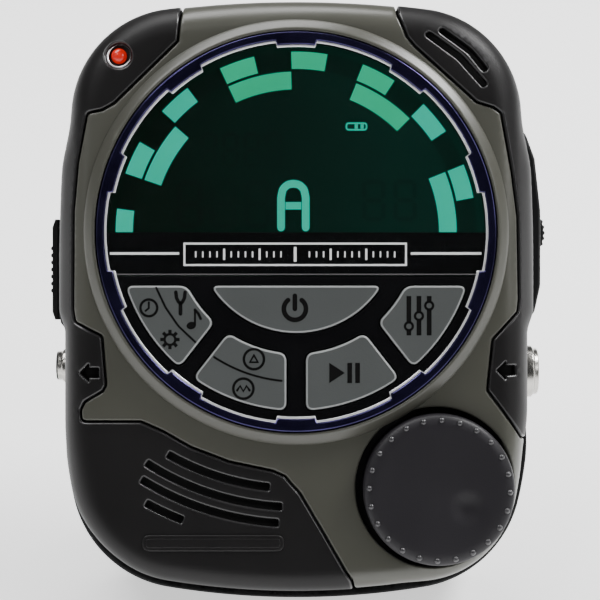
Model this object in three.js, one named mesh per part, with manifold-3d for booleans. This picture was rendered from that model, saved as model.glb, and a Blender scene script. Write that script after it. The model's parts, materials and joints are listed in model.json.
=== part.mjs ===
// Handheld strobe tuner with a round display face, a data wheel and a fold-out tilt stand.
// Millimetres. The device frame has x to the right and y up the face, with z out of the face and z = 0 at the
// joint between the two housings. The device group leans back on its stand; +Z of the exported group is up and
// its origin is the middle of the base pad's contact face.
import * as THREE from "three";
import { mergeVertices } from "three/addons/utils/BufferGeometryUtils.js";
import Module from "manifold-3d";

const wasm = await Module();
wasm.setup();

// ---------------------------------------------------------------- driving dimensions
const GAP = 0.3; // clearance between separate pieces
const OVERSHOOT = 1; // how far a cutter runs past the face it cuts
const LEAN = THREE.MathUtils.degToRad(30); // of the face, back from upright
const STAND_OPEN = THREE.MathUtils.degToRad(42); // of the leg, away from the back

const HALF_WIDTH = 48.5;
const HALF_HEIGHT = 62.5;
// Radii of the upper outline's three arcs.
const TOP_ARCS = { widestY: 6.4, crown: 217, corner: 23, side: 420 };
const BOTTOM_ARCS = { widestY: 24.2, crown: 167, corner: 23.7, side: 80 };

const FACE_Z = 15;
const BACK_Z = -15;
const FRONT_INSET = 0.6; // the front housing stands back from the rear one by this much
const FRONT_EDGE = { width: 6, height: 7 }; // the rounded edge between side and face
const REAR_EDGE = { width: 5, height: 6 };
const REAR_WALL = 1.8;
// A lip round the lower end of the rear housing.
const REAR_RIM = { proud: 0.9, low: -3.5, high: -0.3, belowY: -30 };
const RECESS = { inset: 2.1, top: 13.5 }; // the sunken surface that the rubber grips cover
const CAVITY = { inset: 3.2, top: 12.2 };
const GRIP_INNER = { inset: RECESS.inset - GAP, top: RECESS.top + GAP };
const GRIP_BULGE = 1.3; // the side grips stand this far out of the outline

const DISPLAY = { x: 0, y: 13.8 }; // centre of the round face
const BEZEL = { outer: 40.8, inner: 39.2, tabInner: 38.2, tabs: 10, tabDegrees: 12, top: 17.0 };
const BOSS = { outer: 44.1, crest: 42.6, top: 16.8 };
const WINDOW = { radius: 39.8, bottom: 14.3, top: 16.0, splitY: 4.85 };
const LCD = { radius: 38.6, lowY: 12.6 };
const KEYS = {
  top: 16.9, inner: 24.8, outer: 36.45, powerRadius: 20.6, topY: 2.8, halfGap: 2.0, splitHalfGap: 1.75,
};
const KEY_SPLIT_ANGLE = THREE.MathUtils.degToRad(232); // direction of the gap between the two left keys

const WHEEL = { x: 29.1, y: -38.75, radius: 15.45, bottom: 10.4, top: 19.0, dimples: 24 };
// The well is set off the wheel's centre, to leave the case a rim outside it.
const WELL = { x: 28.6, y: -38.5, radius: 16.5, floor: 9.6, wall: 1.2 };

const SPEAKER = { x: -17.9, y: -41, radius: 14 };
const SPEAKER_SLOTS = [
  { radius: 52.7, from: 240, to: 264 },
  { radius: 56.1, from: 237, to: 267 },
  { radius: 59.8, from: 238, to: 266.5 },
  { radius: 63.5, from: 241, to: 248.5 },
];
const SLOT_WIDTH = 1.4;
const MIC_SLOTS = [
  [[30.0, 55.0], [35.6, 50.9], [38.5, 47.3]],
  [[27.2, 54.2], [33.5, 49.6], [38.3, 44.2]],
];
const MIC = { x: 33.2, y: 50.2 };
const LED = { x: -36.4, y: 50.0, radius: 1.65, recess: 2.6 };

const THUMBWHEEL = { x: 45.9, y: 14.3, z: -4.5, radius: 7.4, thickness: 3.4, ribs: 24 };
const THUMB_HOUSING = [[44, 36.5], [48.4, 36], [50.6, 30], [52, 19], [52, 3], [50.6, -2], [48, -5], [44, -5]];
const THUMB_HOUSING_Z = [-11, -0.4];
const PORT_HOUSING = [[-44, 20.5], [-48.4, 20.5], [-50.3, 17.6], [-50.3, -4.8], [-48.4, -7.4], [-44, -7.4]];
const PORT_HOUSING_Z = [-9, -0.6];
const INPUT_JACK = { y: -15.3, z: -2.5, nose: 4.7, nut: 5.5, body: { from: 22, to: 45, half: 6.5 } };
const OUTPUT_JACK = { y: -14.1, z: -2.2, nose: 3.0, nut: 3.6, body: { from: 34, to: 45, half: 3.6 } };
const JACK_TIP = 51.3;
const USB = { y: 6.4, z: -4.2, halfWidth: 4.2, halfHeight: 1.6 };
const PORT_COVER = { fromY: -4.3, toY: 17.1, fromZ: -9, toZ: -0.8, inner: 50.6, outer: 52.0 };

const HINGE = { y: -4, z: -12.2, barrel: 2.4, pin: 1.0 };
const STAND = { halfWidth: 19, length: 49.5, plate: 2.4, windowHalf: 9, windowFrom: -21, windowTo: -39 };
const POCKET = { halfWidth: STAND.halfWidth + 0.6, top: -0.8, bottom: -57.2, floor: -11.8, hingeFloor: -9.4 };
const POCKET_WALL = 1.6;
const TRIPOD = { y: -30, radius: 5, hole: 2.9, depth: 8, face: -14.9 };
const BASE_PAD = { halfWidth: 18, front: -11, back: -14.9, contact: -59.9 };
const BASE_PAD_MIDDLE_Y = -19.63; // of the contact face, level with the floor

const POSTS = [[-36, 47], [36, 47], [-42.5, -1.8], [42.5, -1.8], [-39, -42], [39, -42]]; // case screws
const POST_RADIUS = 3;
const BOARD = { bottom: 5.0, top: 6.6, inset: 6, lowY: -29.6 };
const BOARD_SCREWS = [[-40.2, 22], [40.2, 22], [0, -26.8]];

// ---------------------------------------------------------------- solids from geometry
function solid(geometry) {
  const bare = geometry.index ? geometry.toNonIndexed() : geometry.clone();
  bare.deleteAttribute("normal");
  bare.deleteAttribute("uv");
  const merged = mergeVertices(bare, 1e-4);
  return new wasm.Manifold(
    new wasm.Mesh({
      numProp: 3,
      vertProperties: merged.attributes.position.array,
      triVerts: new Uint32Array(merged.index.array),
    }),
  );
}

function geometryOf(manifold) {
  const mesh = manifold.getMesh();
  const positions = new Float32Array(mesh.numVert * 3);
  for (let i = 0; i < mesh.numVert; i++) {
    positions.set(mesh.vertProperties.subarray(i * mesh.numProp, i * mesh.numProp + 3), i * 3);
  }
  const geometry = new THREE.BufferGeometry();
  geometry.setAttribute("position", new THREE.BufferAttribute(positions, 3));
  geometry.setIndex(new THREE.BufferAttribute(mesh.triVerts, 1));
  geometry.computeVertexNormals();
  return geometry;
}

function join(...solids) {
  return solids.reduce((all, next) => all.add(next));
}

function cut(body, ...tools) {
  return tools.reduce((left, tool) => left.subtract(tool), body);
}

function shapeOf(points) {
  return new THREE.Shape(points.map((p) => (p.isVector2 ? p : new THREE.Vector2(p[0], p[1]))));
}

function prism(points, z0, z1) {
  const geometry = new THREE.ExtrudeGeometry(shapeOf(points), { depth: z1 - z0, bevelEnabled: false });
  return solid(geometry.translate(0, 0, z0));
}

function box(x0, x1, y0, y1, z0, z1) {
  const geometry = new THREE.BoxGeometry(x1 - x0, y1 - y0, z1 - z0);
  return solid(geometry.translate((x0 + x1) / 2, (y0 + y1) / 2, (z0 + z1) / 2));
}

function disc(x, y, radius, z0, z1, segments = 24) {
  const geometry = new THREE.CylinderGeometry(radius, radius, z1 - z0, segments);
  return solid(geometry.rotateX(Math.PI / 2).translate(x, y, (z0 + z1) / 2));
}

// A cylinder lying along x, from x0 to x1.
function rod(x0, x1, y, z, radius, segments = 16) {
  const geometry = new THREE.CylinderGeometry(radius, radius, x1 - x0, segments);
  return solid(geometry.rotateZ(Math.PI / 2).translate((x0 + x1) / 2, y, z));
}

// A body of revolution about the line through (x, y) along z; profile is a closed list of [radius, z].
function turned(x, y, profile, segments = 48) {
  const points = [...profile, profile[0]].map(([r, z]) => new THREE.Vector2(r, z));
  const geometry = new THREE.LatheGeometry(points, segments);
  return solid(geometry.rotateX(Math.PI / 2).translate(x, y, 0));
}

// A tube of round section along a smooth curve through the points.
function wire(points, radius) {
  const route = new THREE.CatmullRomCurve3(points.map((p) => new THREE.Vector3(...p)));
  const section = new THREE.Shape().absarc(0, 0, radius, 0, 2 * Math.PI);
  return solid(new THREE.ExtrudeGeometry(section, { steps: 16, curveSegments: 3, extrudePath: route }));
}

// ---------------------------------------------------------------- outline of the case
function arcPoints(cx, cy, radius, from, to, steps) {
  return Array.from({ length: steps + 1 }, (_, i) => {
    const angle = from + ((to - from) * i) / steps;
    return new THREE.Vector2(cx + radius * Math.cos(angle), cy + radius * Math.sin(angle));
  });
}

// One quarter of the outline, from the widest point to the crown: side, corner and crown arcs, each
// tangent to the next.
function quarterOutline({ widestY, crown, corner, side }, inset) {
  const crownCentre = new THREE.Vector2(0, HALF_HEIGHT - crown);
  const sideCentre = new THREE.Vector2(HALF_WIDTH - side, widestY);
  const toSide = sideCentre.clone().sub(crownCentre);
  const span = toSide.length();
  const along = ((crown - corner) ** 2 - (side - corner) ** 2 + span ** 2) / (2 * span);
  const across = Math.sqrt((crown - corner) ** 2 - along ** 2);
  toSide.normalize();
  const cornerCentre = new THREE.Vector2(-toSide.y, toSide.x).multiplyScalar(-across);
  cornerCentre.addScaledVector(toSide, along).add(crownCentre);
  if (cornerCentre.x < 0) {
    cornerCentre.copy(crownCentre).addScaledVector(toSide, along);
    cornerCentre.add(new THREE.Vector2(-toSide.y, toSide.x).multiplyScalar(across));
  }
  const sideEnd = cornerCentre.clone().sub(sideCentre).angle();
  const crownEnd = cornerCentre.clone().sub(crownCentre).angle();
  return [
    ...arcPoints(sideCentre.x, sideCentre.y, side - inset, 0, sideEnd, 2),
    ...arcPoints(cornerCentre.x, cornerCentre.y, corner - inset, sideEnd, crownEnd, 6).slice(1),
    ...arcPoints(crownCentre.x, crownCentre.y, crown - inset, crownEnd, Math.PI / 2, 3).slice(1),
  ];
}

function outline(inset) {
  const top = quarterOutline(TOP_ARCS, inset);
  const bottom = quarterOutline(BOTTOM_ARCS, inset);
  const mirrored = (points, sx, sy) => points.map((p) => new THREE.Vector2(p.x * sx, p.y * sy));
  return [
    ...top,
    ...mirrored(top, -1, 1).reverse().slice(1),
    ...mirrored(bottom, -1, -1),
    ...mirrored(bottom, 1, -1).reverse().slice(1),
  ];
}

// A closed solid through copies of the outline, each level given as [inset, z] from the lowest up.
function loft(levels) {
  const rings = levels.map(([inset, z]) => outline(inset).map((p) => [p.x, p.y, z]));
  const n = rings[0].length;
  const triangles = [];
  for (let k = 0; k + 1 < rings.length; k++) {
    for (let i = 0; i < n; i++) {
      const j = (i + 1) % n;
      triangles.push(rings[k][i], rings[k][j], rings[k + 1][j], rings[k][i], rings[k + 1][j], rings[k + 1][i]);
    }
  }
  const faces = THREE.ShapeUtils.triangulateShape(outline(levels[0][0]), []);
  for (const [a, b, c] of faces) {
    triangles.push(rings[0][a], rings[0][c], rings[0][b]);
    triangles.push(rings.at(-1)[a], rings.at(-1)[b], rings.at(-1)[c]);
  }
  const geometry = new THREE.BufferGeometry();
  geometry.setAttribute("position", new THREE.Float32BufferAttribute(triangles.flat(), 3));
  return solid(geometry);
}

// The levels of a rounded edge that ends at the given height, on an outline inset by `inset` at its sides.
function edgeLevels(inset, endZ, { width, height }, steps = 3) {
  const towardsEnd = Math.sign(endZ);
  return Array.from({ length: steps + 1 }, (_, i) => {
    const angle = ((Math.PI / 2) * i) / steps;
    return [inset + width * (1 - Math.cos(angle)), endZ - towardsEnd * height * (1 - Math.sin(angle))];
  });
}

function frontBlock(inset, top, shrink, bottom = 0) {
  const edge = { width: FRONT_EDGE.width - shrink, height: FRONT_EDGE.height - shrink };
  return loft([[inset, bottom], ...edgeLevels(inset, top, edge)]);
}

function rearBlock(inset, bottom, shrink, top = 0) {
  const edge = { width: REAR_EDGE.width - shrink, height: REAR_EDGE.height - shrink };
  return loft([...edgeLevels(inset, bottom, edge).reverse(), [inset, top]]);
}

// ---------------------------------------------------------------- outlines of panels and keys
// Moves each side of a counter-clockwise polygon outwards by `distance`.
function grown(points, distance) {
  const corners = points.map((p) => new THREE.Vector2(p[0], p[1]));
  return corners.map((p, i) => {
    const before = p.clone().sub(corners.at(i - 1)).normalize();
    const after = corners[(i + 1) % corners.length].clone().sub(p).normalize();
    const normal = new THREE.Vector2(before.y + after.y, -before.x - after.x).normalize();
    const stretch = distance / Math.max(0.4, normal.dot(new THREE.Vector2(before.y, -before.x)));
    return [p.x + normal.x * stretch, p.y + normal.y * stretch];
  });
}

// The seam of the left grip: upper corner panel, side strip, jack panel and speaker panel; then round
// outside the case.
const LEFT_GRIP = [
  [-23.4, 64], [-24.2, 52.9], [-37.2, 40.2], [-39.7, 38.8], [-42.9, 38.2], [-44.9, 28], [-45.8, 18], [-45.9, -2],
  [-45.5, -4.6], [-39.7, -7.5], [-38.9, -17.5], [-39.6, -18.8], [-43.4, -21], [-44.2, -22.6], [-44.1, -25],
  [-31.8, -25], [-27.4, -26.9], [-21.6, -30.2], [-13.7, -33.2], [-4.7, -35.1], [-2.3, -36.2], [0.8, -39.8],
  [5.9, -48.4], [11.4, -58], [12.5, -66], [-56, -66], [-56, 64],
].reverse();
const RIGHT_GRIP = [
  [20.6, 64], [20.8, 58.6], [22.7, 53.7], [24.3, 51.8], [36.9, 40.4], [40.4, 39.3], [42.0, 38.2], [44.3, 26],
  [45.5, 17], [45.8, 0], [45.5, -2.6], [40.2, -8.1], [39.1, -18.6], [46.4, -28.2], [56, -33], [56, 64],
];

function ringSector(inner, outer, from, to, steps = 6) {
  const { x, y } = DISPLAY;
  const points = [...arcPoints(x, y, outer, from, to, steps), ...arcPoints(x, y, inner, to, from, steps)];
  return points.map((p) => [p.x, p.y]);
}

const BELOW_CENTRE = KEYS.topY - DISPLAY.y; // the keys' straight top edge, measured from the face's centre

// The five key outlines, counter-clockwise.
function keyOutlines() {
  const chordAngle = (radius) => Math.PI - Math.asin(BELOW_CENTRE / radius);
  const lineAngle = (radius, side) => KEY_SPLIT_ANGLE + side * Math.asin(KEYS.splitHalfGap / radius);
  const middleAngle = (radius) => 1.5 * Math.PI - Math.asin(KEYS.halfGap / radius);
  const sector = (start, end) => {
    const outer = arcPoints(DISPLAY.x, DISPLAY.y, KEYS.outer, start(KEYS.outer), end(KEYS.outer), 6);
    const inner = arcPoints(DISPLAY.x, DISPLAY.y, KEYS.inner, end(KEYS.inner), start(KEYS.inner), 4);
    return [...outer, ...inner].map((p) => [p.x, p.y]);
  };
  const upperLeft = sector(chordAngle, (radius) => lineAngle(radius, -1));
  const lowerLeft = sector((radius) => lineAngle(radius, 1), middleAngle);
  const powerStart = chordAngle(KEYS.powerRadius);
  const power = arcPoints(DISPLAY.x, DISPLAY.y, KEYS.powerRadius, powerStart, 3 * Math.PI - powerStart, 10);
  const mirror = (points) => points.map(([x, y]) => [-x, y]).reverse();
  return {
    key_menu: upperLeft,
    key_note: lowerLeft,
    key_power: power.map((p) => [p.x, p.y]),
    key_play: mirror(lowerLeft),
    key_levels: mirror(upperLeft),
  };
}

// The part of the round face above or below a level line, as a polygon.
function faceSegment(radius, y, above, steps = 28) {
  const angle = Math.asin((y - DISPLAY.y) / radius);
  const [from, to] = above ? [angle, Math.PI - angle] : [Math.PI - angle, 2 * Math.PI + angle];
  return arcPoints(DISPLAY.x, DISPLAY.y, radius, from, to, steps).map((p) => [p.x, p.y]);
}

// A slot of constant width with square ends along an arc about the face's centre.
function arcSlot({ radius, from, to }) {
  const [a, b] = [from, to].map(THREE.MathUtils.degToRad);
  return ringSector(radius - SLOT_WIDTH / 2, radius + SLOT_WIDTH / 2, a, b, 4);
}

// A slot of constant width along a bent line of three points.
function bentSlot(line, width) {
  const points = line.map((p) => new THREE.Vector2(...p));
  const normals = points.map((p, i) => {
    const along = points[Math.min(i + 1, 2)].clone().sub(points[Math.max(i - 1, 0)]).normalize();
    return new THREE.Vector2(-along.y, along.x).multiplyScalar(width / 2);
  });
  const left = points.map((p, i) => p.clone().add(normals[i]));
  const right = points.map((p, i) => p.clone().sub(normals[i]));
  return [...left.reverse(), ...right].map((p) => [p.x, p.y]);
}

// ---------------------------------------------------------------- materials
const material = (color, roughness, metalness = 0, more = {}) =>
  new THREE.MeshStandardMaterial({ color, roughness, metalness, ...more });
const OLIVE_PLASTIC = material(0x57584e, 0.45);
const BLACK_PLASTIC = material(0x1d1c1d, 0.5);
const BLACK_RUBBER = material(0x262426, 0.75);
const KEY_RUBBER = material(0x565b5b, 0.7);
const CHROME = material(0x8a88a8, 0.12, 1);
const STEEL = material(0xb9bcc0, 0.3, 1);
const BRASS = material(0xb08d4a, 0.35, 1);
const CLEAR = material(0xdfe8e6, 0.05, 0, { transparent: true, opacity: 0.25 });
const LCD_GLASS = material(0x04261f, 0.1);
const WHITE_PLASTIC = material(0xe8ece8, 0.5);
const CIRCUIT = material(0x1c5a34, 0.6);
const RED_LENS = material(0xc41e12, 0.2);
const FOIL = material(0x9aa0a6, 0.4, 0.6);
const CLOTH = material(0x0c0c0c, 0.95);

// ---------------------------------------------------------------- housings
function jackHoles() {
  const { y: inY, z: inZ, nose: inR } = INPUT_JACK;
  const { y: outY, z: outZ, nose: outR } = OUTPUT_JACK;
  return [rod(40, 56, inY, inZ, inR + GAP), rod(-56, -40, outY, outZ, outR + GAP)];
}

function frontShell() {
  const skin = frontBlock(FRONT_INSET, FACE_Z, 0);
  const boss = turned(DISPLAY.x, DISPLAY.y, [
    [BOSS.outer - 5.2, CAVITY.top], [BOSS.outer + 1, CAVITY.top], [BOSS.outer + 1, FACE_Z - 0.3],
    [BOSS.outer, FACE_Z + 0.5], [BOSS.crest, BOSS.top], [BOSS.outer - 5.2, BOSS.top],
  ], 60);
  const cavity = frontBlock(CAVITY.inset, CAVITY.top, 2.6, -OVERSHOOT);
  const wellCup = disc(WELL.x, WELL.y, WELL.radius + WELL.wall, WELL.floor - WELL.wall, FACE_Z, 36);
  const well = disc(WELL.x, WELL.y, WELL.radius, WELL.floor, FACE_Z + OVERSHOOT, 36);
  const recessed = frontBlock(RECESS.inset, RECESS.top, 1.5);
  const grooves = [LEFT_GRIP, RIGHT_GRIP].map((seam) => {
    return prism(grown(seam, GAP / 2), -OVERSHOOT, FACE_Z + OVERSHOOT).subtract(recessed);
  });
  const posts = POSTS.map(([x, y]) => disc(x, y, POST_RADIUS, 0, CAVITY.top + 0.4, 8));
  const pilots = POSTS.map(([x, y]) => disc(x, y, 1.1, -OVERSHOOT, 8.2, 8));
  const boardPosts = BOARD_SCREWS.map(([x, y]) => disc(x, y, 2.2, BOARD.top + GAP, CAVITY.top + 0.4, 8));
  const boardPilots = BOARD_SCREWS.map(([x, y]) => disc(x, y, 0.9, BOARD.top, 11, 8));
  const trimmedPosts = [...posts, ...boardPosts].map((p) => p.intersect(skin));
  const inside = join(cut(wellCup.intersect(skin), well), ...trimmedPosts);
  const speakerGrille = SPEAKER_SLOTS.map((slot) => prism(arcSlot(slot), 5, FACE_Z + OVERSHOOT));
  const micHole = disc(MIC.x, MIC.y, 3 + GAP, 5, FACE_Z, 14);
  const ledHole = disc(LED.x, LED.y, LED.radius + GAP, 5, FACE_Z, 12);
  return cut(
    join(cut(skin, cavity), boss, inside),
    well,
    disc(DISPLAY.x, DISPLAY.y, LCD.radius + GAP, 5, FACE_Z + 5, 60),
    disc(DISPLAY.x, DISPLAY.y, BEZEL.outer + GAP, WINDOW.bottom - GAP, FACE_Z + 5, 60),
    disc(WHEEL.x, WHEEL.y, 4.2, 5, FACE_Z, 16),
    ...grooves,
    ...pilots,
    ...boardPilots,
    ...speakerGrille,
    micHole,
    ledHole,
    ...jackHoles(),
  );
}

function grip(seam, bulgeSide) {
  const skin = cut(frontBlock(FRONT_INSET, FACE_Z, 0, 0.2), frontBlock(GRIP_INNER.inset, GRIP_INNER.top, 1.2, -1));
  const edge = (x) => bulgeSide * (HALF_WIDTH + x);
  const swell = [[-1.4, 38], [-0.2, 35], [GRIP_BULGE, 24], [GRIP_BULGE, -1], [-0.3, -6], [-1.4, -6]];
  const bulge = swell.map(([x, y]) => [edge(x), y]);
  const panel = prism(grown(seam, -GAP / 2), -OVERSHOOT, FACE_Z + OVERSHOOT);
  const strip = prism(bulgeSide > 0 ? bulge.reverse() : bulge, 0.2, 8.5);
  return join(skin.intersect(panel), strip.intersect(panel));
}

function leftGrip() {
  const recessProfile = [[0, 12.2], [LED.recess - 0.6, 12.2], [LED.recess, FACE_Z + 1], [0, FACE_Z + 1]];
  const recess = turned(LED.x, LED.y, recessProfile, 16);
  return cut(
    grip(LEFT_GRIP, -1),
    ...SPEAKER_SLOTS.map((slot) => prism(arcSlot(slot), 5, FACE_Z + OVERSHOOT)),
    recess,
    disc(LED.x, LED.y, LED.radius + GAP, 5, FACE_Z, 12),
    ...jackHoles(),
  );
}

function rightGrip() {
  const slots = MIC_SLOTS.map((line) => prism(bentSlot(line, 1.1), 5, FACE_Z + OVERSHOOT));
  return cut(grip(RIGHT_GRIP, 1), ...slots, ...jackHoles());
}

function rearShell() {
  const skin = rearBlock(0, BACK_Z, 0);
  const cavity = rearBlock(REAR_WALL + 0.6, BACK_Z + REAR_WALL, 1.6, OVERSHOOT);
  const [housingLow, housingHigh] = THUMB_HOUSING_Z;
  const thumbHousing = prism(THUMB_HOUSING.slice().reverse(), housingLow, housingHigh);
  const portHousing = prism(PORT_HOUSING, ...PORT_HOUSING_Z);
  const posts = POSTS.map(([x, y]) => disc(x, y, POST_RADIUS, BACK_Z + 1, -GAP, 8));
  const screwHoles = POSTS.map(([x, y]) => disc(x, y, 1.6, BACK_Z - 1, OVERSHOOT, 8));
  const headHoles = POSTS.map(([x, y]) => disc(x, y, 2.6, BACK_Z - 1, BACK_Z + 3.2, 10));
  const { halfWidth, top, bottom, floor, hingeFloor } = POCKET;
  const wall = POCKET_WALL;
  const lining = join(
    box(-halfWidth - wall, halfWidth + wall, bottom - wall, top + wall, BACK_Z + 0.5, floor + wall),
    box(-halfWidth - wall, halfWidth + wall, HINGE.y - 5, top + wall, BACK_Z + 0.5, hingeFloor + wall),
  );
  const pocket = join(
    box(-halfWidth, halfWidth, bottom, top, BACK_Z - OVERSHOOT, floor),
    box(-halfWidth, halfWidth, HINGE.y - HINGE.barrel - 0.6, top, BACK_Z - OVERSHOOT, hingeFloor),
  );
  const fingerNotch = disc(halfWidth, -44, 6, BACK_Z - OVERSHOOT, BACK_Z + 2.2, 16);
  const notchLining = disc(halfWidth, -44, 6 + wall, BACK_Z + 0.5, BACK_Z + 2.2 + wall, 16);
  const tripodBoss = disc(0, TRIPOD.y, TRIPOD.radius + 2, TRIPOD.face, TRIPOD.face + TRIPOD.depth + 1.6, 20);
  const tripodSeat = disc(0, TRIPOD.y, TRIPOD.radius + GAP, BACK_Z - 1, TRIPOD.face + TRIPOD.depth + GAP, 20);
  const earWall = rod(-halfWidth - wall - 1, halfWidth + wall + 1, HINGE.y, HINGE.z, HINGE.pin + GAP, 10);
  const t = THUMBWHEEL;
  const thumbSlot = disc(t.x, t.y, t.radius + 0.7, t.z - t.thickness / 2 - 0.5, t.z + t.thickness / 2 + 0.5, 24);
  const hubSlot = disc(t.x, t.y, 2.5, t.z - t.thickness / 2 - 1.2, t.z, 14);
  const usbSlot = box(-56, -40, USB.y - USB.halfWidth - GAP, USB.y + USB.halfWidth + GAP,
    USB.z - USB.halfHeight - GAP, USB.z + USB.halfHeight + GAP);
  const rimRing = loft([[-REAR_RIM.proud, REAR_RIM.low], [-REAR_RIM.proud, REAR_RIM.high]]);
  const rim = rimRing.intersect(box(-60, 60, -70, REAR_RIM.belowY, REAR_RIM.low, REAR_RIM.high));
  const hollow = cut(join(skin, rim), cavity);
  const fittings = join(lining, notchLining, ...posts).intersect(skin);
  return cut(
    join(hollow, fittings, thumbHousing.subtract(cavity), portHousing.subtract(cavity),
      cut(tripodBoss, box(-9, 9, -60, 0, BACK_Z - 3, TRIPOD.face))),
    cut(pocket, tripodBoss),
    fingerNotch,
    tripodSeat,
    earWall,
    thumbSlot,
    hubSlot,
    usbSlot,
    ...screwHoles,
    ...headHoles,
    ...jackHoles(),
  );
}

// ---------------------------------------------------------------- face: bezel, window, keys, display
function bezelRing() {
  const ring = turned(DISPLAY.x, DISPLAY.y, [
    [WINDOW.radius + GAP, WINDOW.bottom], [BEZEL.outer, WINDOW.bottom], [BEZEL.outer, BEZEL.top - 0.4],
    [BEZEL.outer - 0.4, BEZEL.top], [BEZEL.tabInner, BEZEL.top], [BEZEL.tabInner, WINDOW.top + GAP],
    [WINDOW.radius + GAP, WINDOW.top + GAP],
  ], 60);
  const half = THREE.MathUtils.degToRad(BEZEL.tabDegrees / 2);
  const pitch = (2 * Math.PI) / BEZEL.tabs;
  const notches = Array.from({ length: BEZEL.tabs }, (_, i) => {
    const middle = Math.PI / 2 + i * pitch;
    return prism(ringSector(BEZEL.tabInner - 2, BEZEL.inner, middle + half, middle + pitch - half, 4), 15, 18);
  });
  return cut(ring, ...notches);
}

function displayLens() {
  return prism(faceSegment(WINDOW.radius, WINDOW.splitY + GAP / 2, true), WINDOW.bottom, WINDOW.top);
}

function keyFrame(keys) {
  const openings = Object.values(keys).map((points) => prism(grown(points, GAP), 10, 20));
  const frame = prism(faceSegment(WINDOW.radius, WINDOW.splitY - GAP / 2, false), WINDOW.bottom, WINDOW.top);
  return cut(frame, ...openings);
}

function key(points) {
  return join(prism(points, 13.5, KEYS.top), prism(grown(points, 0.7), 12.4, 13.9));
}

function keypadMat(keys) {
  const sheet = prism(faceSegment(37.2, KEYS.topY + 1, false, 20), BOARD.top + GAP, BOARD.top + GAP + 1);
  const plungers = Object.values(keys).map((points) => {
    const middle = points.reduce(([sx, sy], [x, y]) => [sx + x / points.length, sy + y / points.length], [0, 0]);
    return disc(middle[0], middle[1], 2.6, BOARD.top + 1, 11.3, 10);
  });
  return join(sheet, ...plungers);
}

function lcdFrame() {
  const outer = prism(faceSegment(LCD.radius, LCD.lowY - 2, true, 20), BOARD.top + GAP, 12.0);
  const pocket = prism(faceSegment(LCD.radius - 1.2, LCD.lowY - 0.8, true, 20), 8.0, 13);
  return cut(outer, pocket);
}

// ---------------------------------------------------------------- controls
function dataWheel() {
  const { x, y, radius, bottom, top } = WHEEL;
  const body = turned(x, y, [
    [3.3, 12.2], [5.4, 12.2], [5.4, 16.8], [radius - 1.6, 16.8], [radius - 1.6, bottom], [radius, bottom],
    [radius, top - 1.4], [radius - 1.2, top - 0.3], [radius - 2.2, top], [0.01, top - 0.2], [0.01, 17.4], [3.3, 17.4],
  ], 36);
  const fingerCup = solid(new THREE.SphereGeometry(9, 16, 10).translate(x + 5.3, y - 4, top + 8.3));
  return cut(body, fingerCup);
}

function encoder() {
  const { x, y } = WHEEL;
  const can = box(x - 6, x + 6, y - 6, y + 6, 0.8, 7.6);
  return join(can, disc(x, y, 3.6, 7, WELL.floor - 0.2, 16));
}

function volumeWheel() {
  const { x, y, z, radius, thickness, ribs } = THUMBWHEEL;
  const rim = Array.from({ length: ribs * 2 }, (_, i) => {
    const reach = radius - (i % 2 ? 0.35 : 0);
    const angle = (i * Math.PI) / ribs;
    return [x + reach * Math.cos(angle), y + reach * Math.sin(angle)];
  });
  return join(prism(rim, z - thickness / 2, z + thickness / 2), disc(x, y, 2, z - thickness / 2 - 0.8, z, 12));
}

function volumePot() {
  const { x, y, z, thickness } = THUMBWHEEL;
  const top = z - thickness / 2 - 0.8 - GAP;
  return box(x - 11, x - 1.5, y - 5, y + 5, top - 2.2, top);
}

function portCover() {
  const { fromY, toY, fromZ, toZ, inner, outer } = PORT_COVER;
  const side = [
    [-inner, fromY], [-inner, toY], [-outer + 0.4, toY],
    [-outer, toY - 1.6], [-outer, fromY + 1.6], [-outer + 0.4, fromY],
  ];
  const flap = prism(side, fromZ, toZ);
  const middle = (fromY + toY) / 2;
  const ribs = [-3, -1.5, 0, 1.5, 3].map((dy) => {
    return box(-outer - 0.3, -outer + 0.2, middle + dy - 0.35, middle + dy + 0.35, fromZ + 1.5, toZ - 1);
  });
  return join(flap, ...ribs);
}

// ---------------------------------------------------------------- electronics
function mainBoard() {
  const plate = prism(outline(BOARD.inset), BOARD.bottom, BOARD.top);
  const postHoles = POSTS.map(([x, y]) => disc(x, y, POST_RADIUS + GAP, BOARD.bottom - 1, BOARD.top + 1, 12));
  const screwHoles = BOARD_SCREWS.map(([x, y]) => disc(x, y, 1.3, BOARD.bottom - 1, BOARD.top + 1, 8));
  return cut(plate, box(-60, 60, -70, BOARD.lowY, 0, 10), ...postHoles, ...screwHoles);
}

// A slotted screw: head from headZ to headZ + 1.5, thread on towards +z.
function screw(x, y, headZ, length, { head, thread }) {
  const blank = turned(x, y, [
    [0.01, headZ], [head, headZ], [head, headZ + 1.5], [thread, headZ + 1.5], [thread, headZ + 1.5 + length],
    [0.01, headZ + 1.5 + length],
  ], 10);
  return cut(blank, box(x - head - 1, x + head + 1, y - 0.3, y + 0.3, headZ - 1, headZ + 0.5));
}

function speaker() {
  const { x, y, radius } = SPEAKER;
  return turned(x, y, [
    [0.01, 2.6], [7, 2.6], [7, 6.2], [radius - 1.5, 7.6], [radius, 7.6], [radius, 11.2], [radius - 1, 11.2], [6, 9.2],
    [0.01, 9.8],
  ], 24);
}

function jackBody(side, { y, z, nose, body }) {
  const ends = [side * body.from, side * body.to].sort((a, b) => a - b);
  const noseEnds = [side * (body.to - 1), side * (JACK_TIP - 0.3)].sort((a, b) => a - b);
  const boreEnds = [side * (body.to - 8), side * (JACK_TIP + 1)].sort((a, b) => a - b);
  const can = box(...ends, y - body.half, y + body.half, z - body.half, z + body.half);
  return cut(join(can, rod(...noseEnds, y, z, nose)), rod(...boreEnds, y, z, nose * 0.7));
}

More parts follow.
